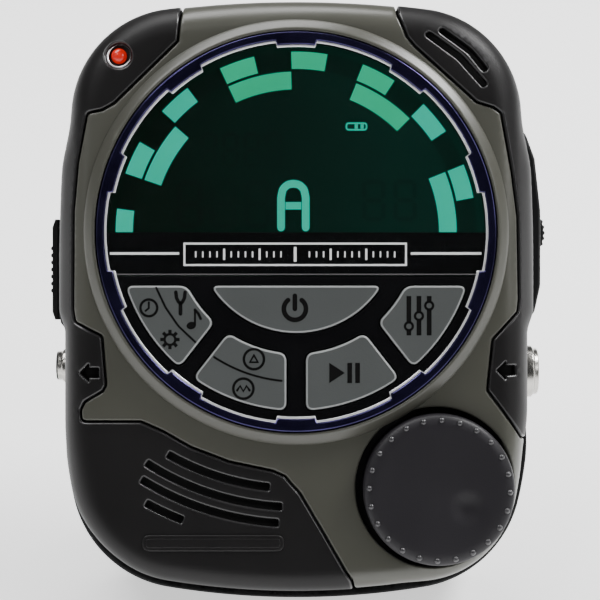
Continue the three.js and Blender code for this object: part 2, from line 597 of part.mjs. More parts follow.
function jackNut(side, { y, z, nose, nut }) {
  const ends = [side * (HALF_WIDTH + 0.5), side * JACK_TIP].sort((a, b) => a - b);
  return cut(rod(...ends, y, z, nut, 24), rod(ends[0] - 1, ends[1] + 1, y, z, nose + GAP / 2, 24));
}

function usbSocket() {
  const { y, z, halfWidth, halfHeight } = USB;
  const can = box(-50.1, -41, y - halfWidth, y + halfWidth, z - halfHeight, z + halfHeight);
  const inside = box(-51, -43, y - halfWidth + 0.5, y + halfWidth - 0.5, z - halfHeight + 0.5, z + halfHeight - 0.5);
  return cut(can, inside);
}

// ---------------------------------------------------------------- stand and pads
// The tilt stand is drawn folded flat along the back; its group turns it open about the hinge.
function tiltStand() {
  const { halfWidth, length, plate, windowHalf, windowFrom, windowTo } = STAND;
  const outer = HINGE.z - HINGE.barrel;
  const leg = box(-halfWidth, halfWidth, HINGE.y - length, HINGE.y, outer, outer + plate);
  const window = box(-windowHalf, windowHalf, windowTo, windowFrom, outer - 1, outer + plate + 1);
  const barrel = rod(-halfWidth, halfWidth, HINGE.y, HINGE.z, HINGE.barrel, 16);
  return cut(join(leg, barrel), window, rod(-halfWidth - 1, halfWidth + 1, HINGE.y, HINGE.z, HINGE.pin + GAP, 10));
}

// Half-space above the floor, as a big block in the device frame, lifted by `lift` along the floor's normal.
function aboveFloor(lift) {
  const block = new THREE.BoxGeometry(200, 200, 200).translate(0, 0, 100 + BASE_PAD.contact + lift);
  return solid(block.rotateX(LEAN - Math.PI / 2));
}

function basePad() {
  const block = box(-BASE_PAD.halfWidth, BASE_PAD.halfWidth, -70, -56, BASE_PAD.back, BASE_PAD.front);
  return cut(block.intersect(aboveFloor(0)), rearBlock(-GAP, BACK_Z - GAP, 0, 1));
}

// The rubber foot on the end of the leg, drawn in the folded frame and trimmed flat where it stands on the floor.
function standPad() {
  const end = HINGE.y - STAND.length;
  const outer = HINGE.z - HINGE.barrel;
  const block = box(-STAND.halfWidth, STAND.halfWidth, end - 5, end - GAP, outer, outer + STAND.plate);
  const floor = new THREE.BoxGeometry(200, 200, 200)
    .translate(0, 0, 100 + BASE_PAD.contact)
    .rotateX(LEAN - Math.PI / 2);
  floor.translate(0, -HINGE.y, -HINGE.z).rotateX(-STAND_OPEN).translate(0, HINGE.y, HINGE.z);
  return block.intersect(solid(floor));
}

// ---------------------------------------------------------------- assembly
const tuner = new THREE.Group();
const device = new THREE.Group();
device.rotation.x = Math.PI / 2 - LEAN;
device.position.set(0, -BASE_PAD_MIDDLE_Y, -BASE_PAD.contact);
tuner.add(device);

const standGroup = new THREE.Group();
standGroup.position.set(0, HINGE.y, HINGE.z);
standGroup.rotation.x = STAND_OPEN;
device.add(standGroup);

function place(name, manifold, look, group = device) {
  const mesh = new THREE.Mesh(geometryOf(manifold), look);
  mesh.name = name;
  mesh.position.copy(group.position).negate().multiplyScalar(group === device ? 0 : 1);
  group.add(mesh);
}

const keys = keyOutlines();
place("front_shell", frontShell(), OLIVE_PLASTIC);
place("rear_shell", rearShell(), BLACK_PLASTIC);
place("left_grip", leftGrip(), BLACK_RUBBER);
place("right_grip", rightGrip(), BLACK_RUBBER);
place("bezel_ring", bezelRing(), CHROME);
place("display_lens", displayLens(), CLEAR);
place("key_frame", keyFrame(keys), BLACK_PLASTIC);
for (const [name, points] of Object.entries(keys)) place(name, key(points), KEY_RUBBER);
place("keypad_mat", keypadMat(keys), BLACK_RUBBER);
place("lcd_panel", prism(faceSegment(LCD.radius, LCD.lowY, true), 12.3, 14.0), LCD_GLASS);
place("backlight", prism(faceSegment(LCD.radius - 1.6, LCD.lowY - 0.4, true, 20), 8.3, 12.0), WHITE_PLASTIC);
place("lcd_frame", lcdFrame(), BLACK_PLASTIC);

place("data_wheel", dataWheel(), BLACK_RUBBER);
place("encoder_shaft", disc(WHEEL.x, WHEEL.y, 3.0, WELL.floor + 0.1, 17.1, 16), STEEL);
place("encoder", encoder(), FOIL);
place("volume_wheel", volumeWheel(), BLACK_PLASTIC);
place("volume_pot", volumePot(), FOIL);
place("port_cover", portCover(), BLACK_RUBBER);

place("main_board", mainBoard(), CIRCUIT);
place("battery", box(-24, 24, 6, 46, BACK_Z + REAR_WALL + GAP, -6.2), FOIL);
place("speaker", speaker(), BLACK_PLASTIC);
place("speaker_cloth", disc(SPEAKER.x, SPEAKER.y, SPEAKER.radius - 0.5, 11.5, 11.9, 24), CLOTH);
place("microphone", disc(MIC.x, MIC.y, 3, 7.0, 9.6, 14), FOIL);
const ledProfile = [[0.01, 8], [1.65, 8], [1.65, 12.4], [1.2, 13.3], [0.01, 13.7]];
place("status_led", turned(LED.x, LED.y, ledProfile, 16), RED_LENS);
place("input_jack", jackBody(1, INPUT_JACK), BLACK_PLASTIC);
place("input_jack_nut", jackNut(1, INPUT_JACK), STEEL);
place("output_jack", jackBody(-1, OUTPUT_JACK), BLACK_PLASTIC);
place("output_jack_nut", jackNut(-1, OUTPUT_JACK), STEEL);
place("usb_socket", usbSocket(), STEEL);
const speakerLeadPath = [[-17.9, -33, 4.4], [-17, -28, 3.6], [-14, -24, 3.4], [-12, -20, 4.2]];
place("speaker_leads", wire(speakerLeadPath, 0.6), BLACK_PLASTIC);
place("battery_leads", wire([[0, 5.4, -8], [3, 2, -6], [8, 2, -1], [10, 4, 4.2]], 0.6), RED_LENS);

POSTS.forEach(([x, y], i) => {
  const solid = screw(x, y, BACK_Z + 1.5, 19.5, { head: 2.2, thread: 0.95 });
  place(`case_screw_${i + 1}`, solid, STEEL);
});
BOARD_SCREWS.forEach(([x, y], i) => {
  const solid = screw(x, y, BOARD.bottom - 1.8, 5.5, { head: 2.0, thread: 0.8 });
  place(`board_screw_${i + 1}`, solid, STEEL);
});

place("tripod_insert", cut(
  disc(0, TRIPOD.y, TRIPOD.radius, TRIPOD.face, TRIPOD.face + TRIPOD.depth, 20),
  disc(0, TRIPOD.y, TRIPOD.hole, TRIPOD.face - 1, TRIPOD.face + TRIPOD.depth - 1.5, 20),
), BRASS);
place("base_pad", basePad(), BLACK_RUBBER);
place("hinge_pin", rod(-POCKET.halfWidth - 1.8, POCKET.halfWidth + 1.8, HINGE.y, HINGE.z, HINGE.pin, 10), STEEL);
place("tilt_stand", tiltStand(), BLACK_PLASTIC, standGroup);
place("stand_pad", standPad(), BLACK_RUBBER, standGroup);

export default tuner;
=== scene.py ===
# Looks of the handheld strobe tuner. Lengths in the code are millimetres in the device frame (x right, y up
# the face, z out of the face, z = 0 at the joint between the housings) unless a name says otherwise.
import json
import math
import bpy
import numpy as np
from mathutils import Matrix, Vector
from mathutils.geometry import delaunay_2d_cdt


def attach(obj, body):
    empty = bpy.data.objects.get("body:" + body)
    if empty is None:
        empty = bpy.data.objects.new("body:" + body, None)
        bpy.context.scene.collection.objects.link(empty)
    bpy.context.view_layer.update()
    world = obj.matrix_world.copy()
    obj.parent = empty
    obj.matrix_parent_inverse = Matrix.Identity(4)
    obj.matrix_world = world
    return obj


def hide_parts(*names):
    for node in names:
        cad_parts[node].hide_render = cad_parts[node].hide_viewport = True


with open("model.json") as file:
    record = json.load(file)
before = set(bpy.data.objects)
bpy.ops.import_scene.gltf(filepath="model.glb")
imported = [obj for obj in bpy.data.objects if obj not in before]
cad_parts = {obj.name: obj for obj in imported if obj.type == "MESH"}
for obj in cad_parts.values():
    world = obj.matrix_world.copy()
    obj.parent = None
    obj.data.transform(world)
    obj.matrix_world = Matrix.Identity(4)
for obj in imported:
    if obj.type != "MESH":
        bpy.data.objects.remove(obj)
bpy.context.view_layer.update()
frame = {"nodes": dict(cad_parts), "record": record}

MM = 0.001
LEAN = math.radians(30)
DEVICE = Matrix.Translation((0, 0.01963, 0.0599)) @ Matrix.Rotation(math.pi / 2 - LEAN, 4, "X")
STAND_OPEN = math.radians(42)
HINGE = (0, -4, -12.2)
HINGE_AT = Matrix.Translation(Vector(HINGE) * MM)
STAND = DEVICE @ HINGE_AT @ Matrix.Rotation(STAND_OPEN, 4, "X") @ HINGE_AT.inverted()

FACE_AT = np.array([0.0, 13.8])  # centre of the round face
WHEEL_AT = np.array([29.1, -38.75])
WELL_AT, WELL_R, WELL_FLOOR = np.array([28.6, -38.5]), 16.5, 9.6
LED_AT = np.array([-36.4, 50.0])
HALF_W, HALF_H = 48.5, 62.5
WALL = 7.85  # height of the front housing's straight wall
DRAWN_IN, SWELL, LIP = 1.6, 1.3, 0.9  # lower end of the front, side grips, lower end of the rear
COLLAR_R, COLLAR_FOOT_R, COLLAR_TOP = 41.05, 43.6, 16.85
BEZEL_R, BEZEL_TOP = 40.8, 17.0
WINDOW_R, WINDOW_TOP, WINDOW_DEPTH = 39.6, 16.0, 1.6
LCD_R, LCD_TOP, LCD_LOW, LIT_Z = 38.6, 14.0, 13.75, 14.09
SKIN = {"round": 0.42, "depth": 1.5}  # the front skins' rounded edge and thickness
SEAM_GAP = 0.44


# ---- outline and surface of the case
class Quarter:
    """The arcs of one end of the outline in its right half: side, corner and crown, tangent to each other."""

    def __init__(self, widest, crown, corner, side):
        self.widest, self.rc, self.rk, self.rs = widest, crown, corner, side
        self.cc = np.array([0.0, HALF_H - crown])
        self.cs = np.array([HALF_W - side, widest])
        d = self.cs - self.cc
        span = np.hypot(*d)
        along = ((crown - corner) ** 2 - (side - corner) ** 2 + span**2) / (2 * span)
        across = math.sqrt((crown - corner) ** 2 - along**2)
        u = d / span
        v = np.array([-u[1], u[0]])
        options = [self.cc + along * u + sign * across * v for sign in (-1, 1)]
        self.ck = max(options, key=lambda c: c[0])
        self.a0 = math.atan2(*(self.ck - self.cs)[::-1])
        self.a1 = math.atan2(*(self.ck - self.cc)[::-1])

    def inset(self, p):
        """Distance in from the outline, and the outward normal, for points with x >= 0 and y >= 0."""
        vs, vc, vk = p - self.cs, p - self.cc, p - self.ck
        ls, lc, lk = (np.linalg.norm(v, axis=1) for v in (vs, vc, vk))
        ss, sc, sk = self.rs - ls, self.rc - lc, self.rk - lk
        angle = np.arctan2(vk[:, 1], vk[:, 0])
        corner = (angle > self.a0) & (angle < self.a1) & (lk > 1e-6)
        side = ss < sc
        s = np.where(corner, sk, np.where(side, ss, sc))
        n = np.where(corner[:, None], vk / np.maximum(lk, 1e-6)[:, None],
                     np.where(side[:, None], vs / ls[:, None], vc / lc[:, None]))
        straight = p[:, 1] < self.widest
        s = np.where(straight, HALF_W - p[:, 0], s)
        n = np.where(straight[:, None], np.array([1.0, 0.0]), n)
        return s, n

    def points(self, count):
        """The outline from y = 0 to the crown."""
        def arc(c, r, a, b, n):
            t = np.linspace(a, b, n)
            return np.stack([c[0] + r * np.cos(t), c[1] + r * np.sin(t)], 1)
        line = np.stack([np.full(count, HALF_W), np.linspace(0, self.widest, count)], 1)
        side = arc(self.cs, self.rs, 0, self.a0, count)
        corner = arc(self.ck, self.rk, self.a0, self.a1, count * 2)
        crown = arc(self.cc, self.rc, self.a1, math.pi / 2, count)
        return np.vstack([line, side[1:], corner[1:], crown[1:]])


TOP = Quarter(6.4, 217, 23, 420)
BOTTOM = Quarter(24.2, 167, 23.7, 80)


def outline_inset(p):
    """Distance in from the outline and outward normal for any points."""
    p = np.asarray(p, float)
    q = np.abs(p)
    st, nt = TOP.inset(q)
    sb, nb = BOTTOM.inset(q)
    up = p[:, 1] >= 0
    s = np.where(up, st, sb)
    n = np.where(up[:, None], nt, nb)
    return s, n * np.where(p < 0, -1.0, 1.0)


def outline_points(outset=0.0, count=24):
    t, b = TOP.points(count), BOTTOM.points(count)
    flip = lambda pts, sx, sy: pts * np.array([sx, sy])
    ring = np.vstack([t, flip(t, -1, 1)[::-1][1:], flip(b, -1, -1)[1:], flip(b, 1, -1)[::-1][1:-1]])
    _, n = outline_inset(ring)
    return ring + n * outset


def smooth(x):
    x = np.clip(x, 0, 1)
    return x * x * (3 - 2 * x)


class Shell:
    """A housing's outer surface, laid out flat, with its rounded edge and its wall unrolled."""

    def __init__(self, face, width, height, start, inset, sign, extra=None):
        self.face, self.w, self.h, self.sign, self.shift, self.extra = face, width, height, sign, inset, extra
        self.a = np.linspace(0, math.pi / 2, 200)
        ins, z = width * (1 - np.sin(self.a)), -height * (1 - np.cos(self.a))
        self.t = np.concatenate([[0], np.cumsum(np.hypot(np.diff(ins), np.diff(z)))])
        self.reach = self.t[-1] + face - height - start  # unrolled length from the flat to the joint
        self.edge = self.reach - width  # how far outside the outline the layout goes

    def flat_to_layout(self, p):
        """Layout points for plan points that lie on the face or its rounded edge."""
        p = np.asarray(p, float)
        s, n = outline_inset(p)
        s = s - self.shift
        a = np.arcsin(np.clip(1 - s / self.w, 0, 1))
        t = np.interp(a, self.a, self.t)
        wanted = np.where(s < self.w, self.w - t, s)
        wanted = np.where(s < 0, s - (self.t[-1] - self.w), wanted)
        return p + n * (s - wanted)[:, None]

    def at(self, p, depth=0.0):
        p = np.asarray(p, float)
        s, n = outline_inset(p)
        s = s - self.shift
        t = np.clip(self.w - s, 0, None)
        a = np.interp(t, self.t, self.a)
        wall = np.clip(t - self.t[-1], 0, None)
        inset = np.where(t > 0, self.w * (1 - np.sin(a)), s)
        xy = p + n * (s - inset)[:, None]
        z = self.face - self.h * (1 - np.cos(a)) - wall
        slope = np.stack([np.sin(a) / self.w, np.cos(a) / self.h], 1)
        slope /= np.linalg.norm(slope, axis=1)[:, None]
        slope[wall > 0] = (1, 0)
        nn = np.column_stack([n * slope[:, :1], slope[:, 1]])
        pos = np.column_stack([xy, z])
        if self.extra is not None:
            pos, nn = self.extra(pos, nn, t - self.t[-1])
        pos = pos - nn * np.reshape(depth, (-1, 1))
        pos[:, 2] *= self.sign
        return pos


def front_extra(pos, nn, wall):
    """The swelling of the side grips, and the lower end drawn in from the rear housing's lip."""
    pos = pos.copy()
    _, n = outline_inset(pos[:, :2])
    clear = 0.25 + 0.75 * smooth((np.hypot(*(pos[:, :2] - WELL_AT).T) - 17) / 6)
    below = np.where(pos[:, 0] < 0, -38, -22)
    draw = DRAWN_IN * clear * smooth((below - pos[:, 1]) / 18) * smooth((wall + 12) / 12)
    pos[:, :2] -= n * (draw * (1 - 0.45 * np.clip(wall / WALL, 0, 1)))[:, None]
    side = smooth((38 - pos[:, 1]) / 12) * smooth((pos[:, 1] + 7) / 5)
    swell = SWELL * side * smooth((wall + 5) / 5.5)
    pos[:, 0] += np.sign(pos[:, 0]) * swell
    return pos, nn


def rear_extra(pos, nn, wall):
    """The lip round the lower end of the rear housing."""
    pos = pos.copy()
    lip = LIP * smooth((-20 - pos[:, 1]) / 14) * smooth((wall - 5.2) / 0.7)
    pos[:, :2] += nn[:, :2] * lip[:, None]
    return pos, nn


FRONT = Shell(15, 6, 7, 0.15, 0.6, 1, front_extra)
REAR = Shell(15, 5, 6, 0.15, 0.0, -1, rear_extra)


class Plane:
    """A flat top at height z."""

    def __init__(self, z, sign=1):
        self.z, self.sign = z, sign

    def at(self, p, depth=0.0):
        p = np.asarray(p, float)
        return np.column_stack([p, np.full(len(p), self.z) - self.sign * np.broadcast_to(depth, len(p))])


# ---- plane figures
def circle(x, y, r, n=64, start=0.0):
    t = start + np.arange(n) * 2 * math.pi / n
    return np.stack([x + r * np.cos(t), y + r * np.sin(t)], 1)


def arc(cx, cy, r, a, b, step=0.8):
    n = max(2, int(abs(b - a) * r / step) + 1)
    t = np.linspace(a, b, n)
    return np.stack([cx + r * np.cos(t), cy + r * np.sin(t)], 1)


def sector(r0, r1, a, b, centre=FACE_AT, step=0.8):
    """A piece of a ring, counter-clockwise, angles in degrees."""
    a, b = math.radians(a), math.radians(b)
    return np.vstack([arc(*centre, r1, a, b, step), arc(*centre, r0, b, a, step)])


def stroke(points, width, caps=True):
    """The outline of a line of that width through the points."""
    p = np.asarray(points, float)
    d = np.gradient(p, axis=0) if len(p) > 2 else np.repeat([p[1] - p[0]], 2, 0)
    d /= np.linalg.norm(d, axis=1)[:, None]
    n = np.stack([-d[:, 1], d[:, 0]], 1) * width / 2
    left, right = p + n, p - n
    if not caps:
        return np.vstack([right, left[::-1]])
    def cap(c, from_dir):
        a = math.atan2(from_dir[1], from_dir[0])
        t = np.linspace(a, a + math.pi, 7)[1:-1]
        return np.stack([c[0] + width / 2 * np.cos(t), c[1] + width / 2 * np.sin(t)], 1)
    return np.vstack([right, cap(p[-1], -n[-1]), left[::-1], cap(p[0], n[0])])


def fillet(points, radius, closed=True, steps=4):
    """Rounds the corners of a line or a closed figure."""
    p = np.asarray(points, float)
    out = []
    count = len(p)
    for i in range(count):
        if not closed and i in (0, count - 1):
            out.append(p[i])
            continue
        a, b, c = p[i - 1], p[i], p[(i + 1) % count]
        la, lc = np.linalg.norm(a - b), np.linalg.norm(c - b)
        ua, uc = (a - b) / la, (c - b) / lc
        turn = math.acos(np.clip(np.dot(ua, uc), -1, 1))
        if turn > math.radians(172):
            out.append(b)
            continue
        d = min(radius / math.tan(turn / 2), la * 0.45, lc * 0.45)
        q0, q1 = b + ua * d, b + uc * d
        for t in np.linspace(0, 1, steps + 1):
            out.append((1 - t) ** 2 * q0 + 2 * t * (1 - t) * b + t * t * q1)
    return np.array(out)


def dense(points, step=0.8, closed=True):
    p = np.asarray(points, float)
    q = np.roll(p, -1, 0) if closed else p[1:]
    out = []
    for a, b in zip(p, q):
        n = max(1, int(np.ceil(np.linalg.norm(b - a) / step)))
        out.append(a + (b - a) * np.arange(n)[:, None] / n)
    if not closed:
        out.append(p[-1:])
    return np.vstack(out)


def area(p):
    return 0.5 * np.sum(p[:, 0] * np.roll(p[:, 1], -1) - np.roll(p[:, 0], -1) * p[:, 1])


def inside(points, loops):
    """Which points lie inside the loops, counting even and odd."""
    res = np.zeros(len(points), bool)
    x, y = points[:, 0], points[:, 1]
    for loop in loops:
        for (x0, y0), (x1, y1) in zip(loop, np.roll(loop, -1, 0)):
            if y0 == y1:
                continue
            hit = ((y0 > y) != (y1 > y)) & (x < (x1 - x0) * (y - y0) / (y1 - y0) + x0)
            res ^= hit
    return res


def shrink(p, d):
    """Moves each point of a loop towards its left side by d."""
    e = np.roll(p, -1, 0) - p
    e /= np.maximum(np.linalg.norm(e, axis=1), 1e-9)[:, None]
    n = np.stack([-e[:, 1], e[:, 0]], 1)
    m = n + np.roll(n, 1, 0)
    m /= np.maximum(np.linalg.norm(m, axis=1), 1e-9)[:, None]
    k = np.clip(np.sum(m * n, 1), 0.5, 1)
    return p + m * (d / k)[:, None]


# ---- pieces
def grid_faces(stations, points, closed=True):
    """Quads over a ring of stations, each with as many points; closed joins the last point to the first."""
    return [
        (i * points + k, j * points + k, j * points + (k + 1) % points, i * points + (k + 1) % points)
        for i, j in zip(range(stations), [*range(1, stations), 0])
        for k in range(points if closed else points - 1)
    ]


def add_piece(name, verts_mm, faces, material, body="case", matrix=DEVICE, smooth_faces=True):
    """A piece from device millimetres, turned into the frame's metres, riding on its body."""
    mesh = bpy.data.meshes.new(name)
    mesh.from_pydata((np.asarray(verts_mm) * MM).tolist(), [], [list(map(int, f)) for f in faces])
    mesh.validate()
    mesh.update()
    for m in material if isinstance(material, (list, tuple)) else [material]:
        mesh.materials.append(m)
    mesh.transform(matrix)
    piece = bpy.data.objects.new(name, mesh)
    bpy.context.scene.collection.objects.link(piece)
    if smooth_faces:
        mesh.polygons.foreach_set("use_smooth", [True] * len(mesh.polygons))
        piece.modifiers.new("normals", "WEIGHTED_NORMAL").keep_sharp = True
    bpy.context.view_layer.update()
    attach(piece, body)
    return piece


def fill(loops, spacing=None):
    """Triangles that fill the loops: the vertices (those of the loops first), and the faces."""
    pts = [np.asarray(l, float) for l in loops]
    rim = np.vstack(pts)
    edges, k = [], 0
    for l in pts:
        edges += [(k + i, k + (i + 1) % len(l)) for i in range(len(l))]
        k += len(l)
    every = rim
    if spacing:
        lo, hi = rim.min(0), rim.max(0)
        gx = np.arange(lo[0], hi[0], spacing)
        gy = np.arange(lo[1], hi[1], spacing * 0.866)
        X, Y = np.meshgrid(gx, gy)
        X = X + (np.arange(len(gy)) % 2)[:, None] * spacing / 2
        grid = np.stack([X.ravel(), Y.ravel()], 1)
        grid = grid[inside(grid, pts)]
        keep = np.ones(len(grid), bool)
        for i in range(0, len(grid), 2000):
            d = np.linalg.norm(grid[i:i + 2000, None] - rim[None], axis=2).min(1)
            keep[i:i + 2000] = d > spacing * 0.55
        every = np.vstack([rim, grid[keep]])
    v, _, f, origin, _, _ = delaunay_2d_cdt([Vector(p) for p in every.tolist()], edges, [], 0, 1e-6)
    v = np.array([tuple(p) for p in v])
    f = np.array([list(t) for t in f])
    f = f[inside(v[f].mean(1), pts)]
    where = np.full(len(every), -1)
    for i, olds in enumerate(origin):
        for o in olds:
            where[o] = i
    return v, f, where[:len(rim)]


def panel(name, loops, surf, material, round=0.4, depth=1.6, under=0.0, spacing=1.1, steps=3, rim_slot=0,
          lift=0.0, **more):
    """A solid skin on a surface, with rounded upper edges. The first loop is its outline, the rest are holes.
    under rounds the lower edges too; rim_slot is the material slot of the rounded edge."""
    fixed = []
    for i, l in enumerate(loops):
        l = np.asarray(l, float)
        if (area(l) > 0) != (i == 0):
            l = l[::-1]
        fixed.append(l)
    tops = [shrink(l, round) for l in fixed]
    v, f, where = fill(tops, spacing)
    turn = np.linspace(0, math.pi / 2, steps + 1)
    section = [(round * (1 - math.cos(t)), round * (1 - math.sin(t))) for t in turn[::-1]]
    if under:
        section += [(under * (1 - math.cos(t)), depth - under * (1 - math.sin(t))) for t in turn]
    else:
        section += [(0, depth)]
    n = len(v)
    verts = [surf.at(v, -lift)]
    bottom = surf.at(v, depth)
    k, start = 0, 0
    faces = [tuple(t) for t in f]
    slots = [0] * len(faces)
    total = n
    blocks = []
    for l in fixed:
        ids = where[start:start + len(l)]
        rings = [ids]
        for ins, dep in section[1:-1]:
            verts.append(surf.at(shrink(l, ins), dep - lift))
            rings.append(np.arange(total, total + len(l)))
            total += len(l)
        blocks.append((l, ids, rings))
        start += len(l)
    bottom_ids = np.arange(total, total + n)
    for l, ids, rings in blocks:
        bottom[ids] = surf.at(shrink(l, section[-1][0]), section[-1][1])
        rings.append(bottom_ids[ids])
        for j, (up, low) in enumerate(zip(rings, rings[1:])):
            for i in range(len(l)):
                m = (i + 1) % len(l)
                faces.append((up[i], low[i], low[m], up[m]))
                slots.append(rim_slot if j < steps else 0)
    verts.append(bottom)
    faces += [tuple(bottom_ids[list(t[::-1])]) for t in f]
    slots += [0] * len(f)
    verts = np.vstack(verts)
    if surf.sign < 0:
        faces = [t[::-1] for t in faces]
    piece = add_piece(name, verts, faces, material, **more)
    if rim_slot:
        piece.data.polygons.foreach_set("material_index", slots)
    if isinstance(surf, Plane):
        level = [False] * len(f)
        piece.data.polygons.foreach_set("use_smooth", level + [True] * (len(faces) - 2 * len(f)) + level)
    return piece


def decal(name, figures, z, material, thick=0.05, **more):
    """Printed or lit figures as thin slabs at height z. Each is a list of loops filled by even and odd."""
    verts, faces = [], []
    k = 0
    for loops in figures:
        loops = [l if (area(l) > 0) == (i == 0) else l[::-1] for i, l in enumerate(loops)]
        v, f, where = fill(loops)
        n = len(v)
        top = np.column_stack([v, np.full(n, z)])
        low = np.column_stack([v, np.full(n, z - thick)])
        verts += [top, low]
        faces += [tuple(t + k) for t in f] + [tuple(t[::-1] + k + n) for t in f]
        s = 0
        for l in loops:
            ids = where[s:s + len(l)]
            for i in range(len(l)):
                m = (i + 1) % len(l)
                faces.append((ids[i] + k, ids[i] + k + n, ids[m] + k + n, ids[m] + k))
            s += len(l)
        k += 2 * n
    return add_piece(name, np.vstack(verts), faces, material, smooth_faces=False, **more)


def turned(name, profile, at, material, segments=96, axis="z", shape=None, **more):
    """A solid of revolution: profile is a closed list of (radius, height) round the axis through at."""
    prof = np.asarray(profile, float)
    m = len(prof)
    t = np.arange(segments) * 2 * math.pi / segments
    r = prof[None, :, 0] * np.ones((segments, 1))
    if shape is not None:
        r = shape(r, t[:, None])
    a, b, c = r * np.cos(t)[:, None], r * np.sin(t)[:, None], np.broadcast_to(prof[:, 1], (segments, m))
    if axis == "z":
        v = np.stack([a, b, c], 2)
    elif axis == "x":
        v = np.stack([c, a, b], 2)
    else:
        v = np.stack([-c, b, a], 2)
    v = v.reshape(-1, 3) + np.asarray(at, float)
    return add_piece(name, v, grid_faces(segments, m), material, **more)


# ---- materials
def mat(name, color, rough, metal=0.0, grain=0.0, grain_scale=2500, tint=0.08, tint_scale=60, wear=0.0,
        coat=0.0, spec=0.5, rough_var=0.06, emission=None, strength=0.0, transmission=0.0, ior=1.5,
        streak=None, sweep=False):
    """A procedural material: base colour varied by noise, uneven roughness, fine bump, and paler worn edges.
    emission is the two ends of the glow's colour, and sweep makes it change from left to right."""
    m = bpy.data.materials.new(name)
    m.use_nodes = True
    nodes, links = m.node_tree.nodes, m.node_tree.links
    shader = nodes["Principled BSDF"]

    def wire(made, sockets):
        for key, value in sockets.items():
            if isinstance(value, bpy.types.NodeSocket):
                links.new(value, made.inputs[key])
            else:
                made.inputs[key].default_value = value
        return made.outputs[0]

    def node(kind, sockets=(), **settings):
        made = nodes.new("ShaderNode" + kind)
        for key, value in settings.items():
            setattr(made, key, value)
        wire(made, dict(sockets))
        return made.outputs

    def ramp(factor, ends, low=0.3, high=0.7):
        made = nodes.new("ShaderNodeValToRGB")
        for stop, at, shade in zip(made.color_ramp.elements, (low, high), ends):
            stop.position, stop.color = at, (*shade, 1)
        return wire(made, {"Fac": factor})

    def paler(amount, more=0.0):
        return [min(1, c * (1 + amount) + more) for c in color]

    place = node("TexCoord")["Object"]
    where = node("Mapping", {"Vector": place, "Scale": streak or (1, 1, 1)})["Vector"]
    cloud = node("TexNoise", {"Vector": where, "Scale": tint_scale, "Detail": 4})["Fac"]
    base = ramp(cloud, (paler(-tint), paler(tint)))
    if wear:
        edge = ramp(node("NewGeometry")["Pointiness"], ((0, 0, 0), (1, 1, 1)), 0.52, 0.62)
        broken = node("Math", {0: edge, 1: cloud}, operation="MULTIPLY")[0]
        worn = (*paler(wear, 0.02 * wear), 1)
        base = node("Mix", {"Factor": broken, "A": base, "B": worn}, data_type="RGBA")["Result"]
    rough_range = {"Value": cloud, "To Min": max(0, rough - rough_var), "To Max": rough + rough_var}
    wire(shader, {
        "Base Color": base, "Roughness": node("MapRange", rough_range)["Result"], "Metallic": metal,
        "Specular IOR Level": spec, "IOR": ior, "Transmission Weight": transmission,
        "Coat Weight": coat, "Coat Roughness": 0.15,
    })
    if grain:
        fine = node("TexNoise", {"Vector": where, "Scale": grain_scale, "Detail": 3})["Fac"]
        bump = node("Bump", {"Strength": grain, "Distance": 0.0001, "Height": fine})
        wire(shader, {"Normal": bump["Normal"]})
    if emission:
        along = cloud
        if sweep:
            across = node("SeparateXYZ", {"Vector": place})["X"]
            share = node("MapRange", {"Value": across, "From Min": -0.038, "From Max": 0.030})["Result"]
            along = node("Mix", {"Factor": 0.4, "A": share, "B": cloud})["Result"]
        wire(shader, {"Emission Color": ramp(along, emission), "Emission Strength": strength})
    return m


OLIVE = mat("olive_satin_plastic", (0.060, 0.060, 0.049), 0.32, grain=0.10, tint=0.05, wear=0.5, spec=0.5)
GRIP = mat("grip_black_rubber", (0.0065, 0.0060, 0.0062), 0.46, spec=0.22, grain=0.22, grain_scale=3200,
           tint=0.12, wear=0.8)
# Grip edge: glossier rubber for the grips' rounded rims; its paler colour is a painted highlight along the
# rims and slot lips.
GRIP_SHEEN_EDGE = mat("grip_glossy_edge_painted_sheen", (0.016, 0.0155, 0.016), 0.27, grain=0.08, grain_scale=3200, tint=0.12,
                spec=0.55)
WHEEL_RUBBER = mat("wheel_black_rubber", (0.0100, 0.0088, 0.0115), 0.50, spec=0.35, grain=0.25,
                   grain_scale=3000, tint=0.10)
# Bead rubber: glossier than the wheel's, and paler; the paler base is a painted highlight on the beads.
GLOSSY_BEAD_SHEEN = mat("wheel_bead_rubber_painted_sheen", (0.022, 0.021, 0.024), 0.30, tint=0.10, rough_var=0.04, spec=0.7)
BLACK = mat("black_moulded_plastic", (0.008, 0.008, 0.0085), 0.42, spec=0.25, grain=0.18, grain_scale=2200,
            tint=0.10, wear=0.6)
DARK = mat("inner_black_plastic", (0.006, 0.006, 0.006), 0.75, grain=0.10, tint=0.10)
GLOSS = mat("face_black_gloss", (0.0035, 0.0035, 0.004), 0.16, tint=0.15, rough_var=0.03, grain=0.02,
            grain_scale=400)
KEY = mat("key_grey_rubber", (0.060, 0.065, 0.064), 0.55, spec=0.3, grain=0.20, grain_scale=2600, tint=0.05,
          wear=0.3)
# Key edge: a pale grey for the keys' rounded rims, a painted highlight along their edges.
KEY_HIGHLIGHT_EDGE = mat("key_painted_highlight_edge", (0.24, 0.25, 0.25), 0.45, grain=0.10, tint=0.08)
INK = mat("printed_black_ink", (0.002, 0.002, 0.002), 0.7, spec=0.1, tint=0.2, grain=0.08)
WHITE_INK = mat("printed_white_ink", (0.80, 0.80, 0.80), 0.5, tint=0.03, grain=0.05)
GREY_INK = mat("printed_grey_ink", (0.10, 0.10, 0.10), 0.5, tint=0.06, grain=0.05)
BEZEL = mat("violet_bright_plating", (0.034, 0.029, 0.085), 0.16, metal=0.9, tint=0.35, tint_scale=160,
            grain=0.05, grain_scale=700, wear=0.7)
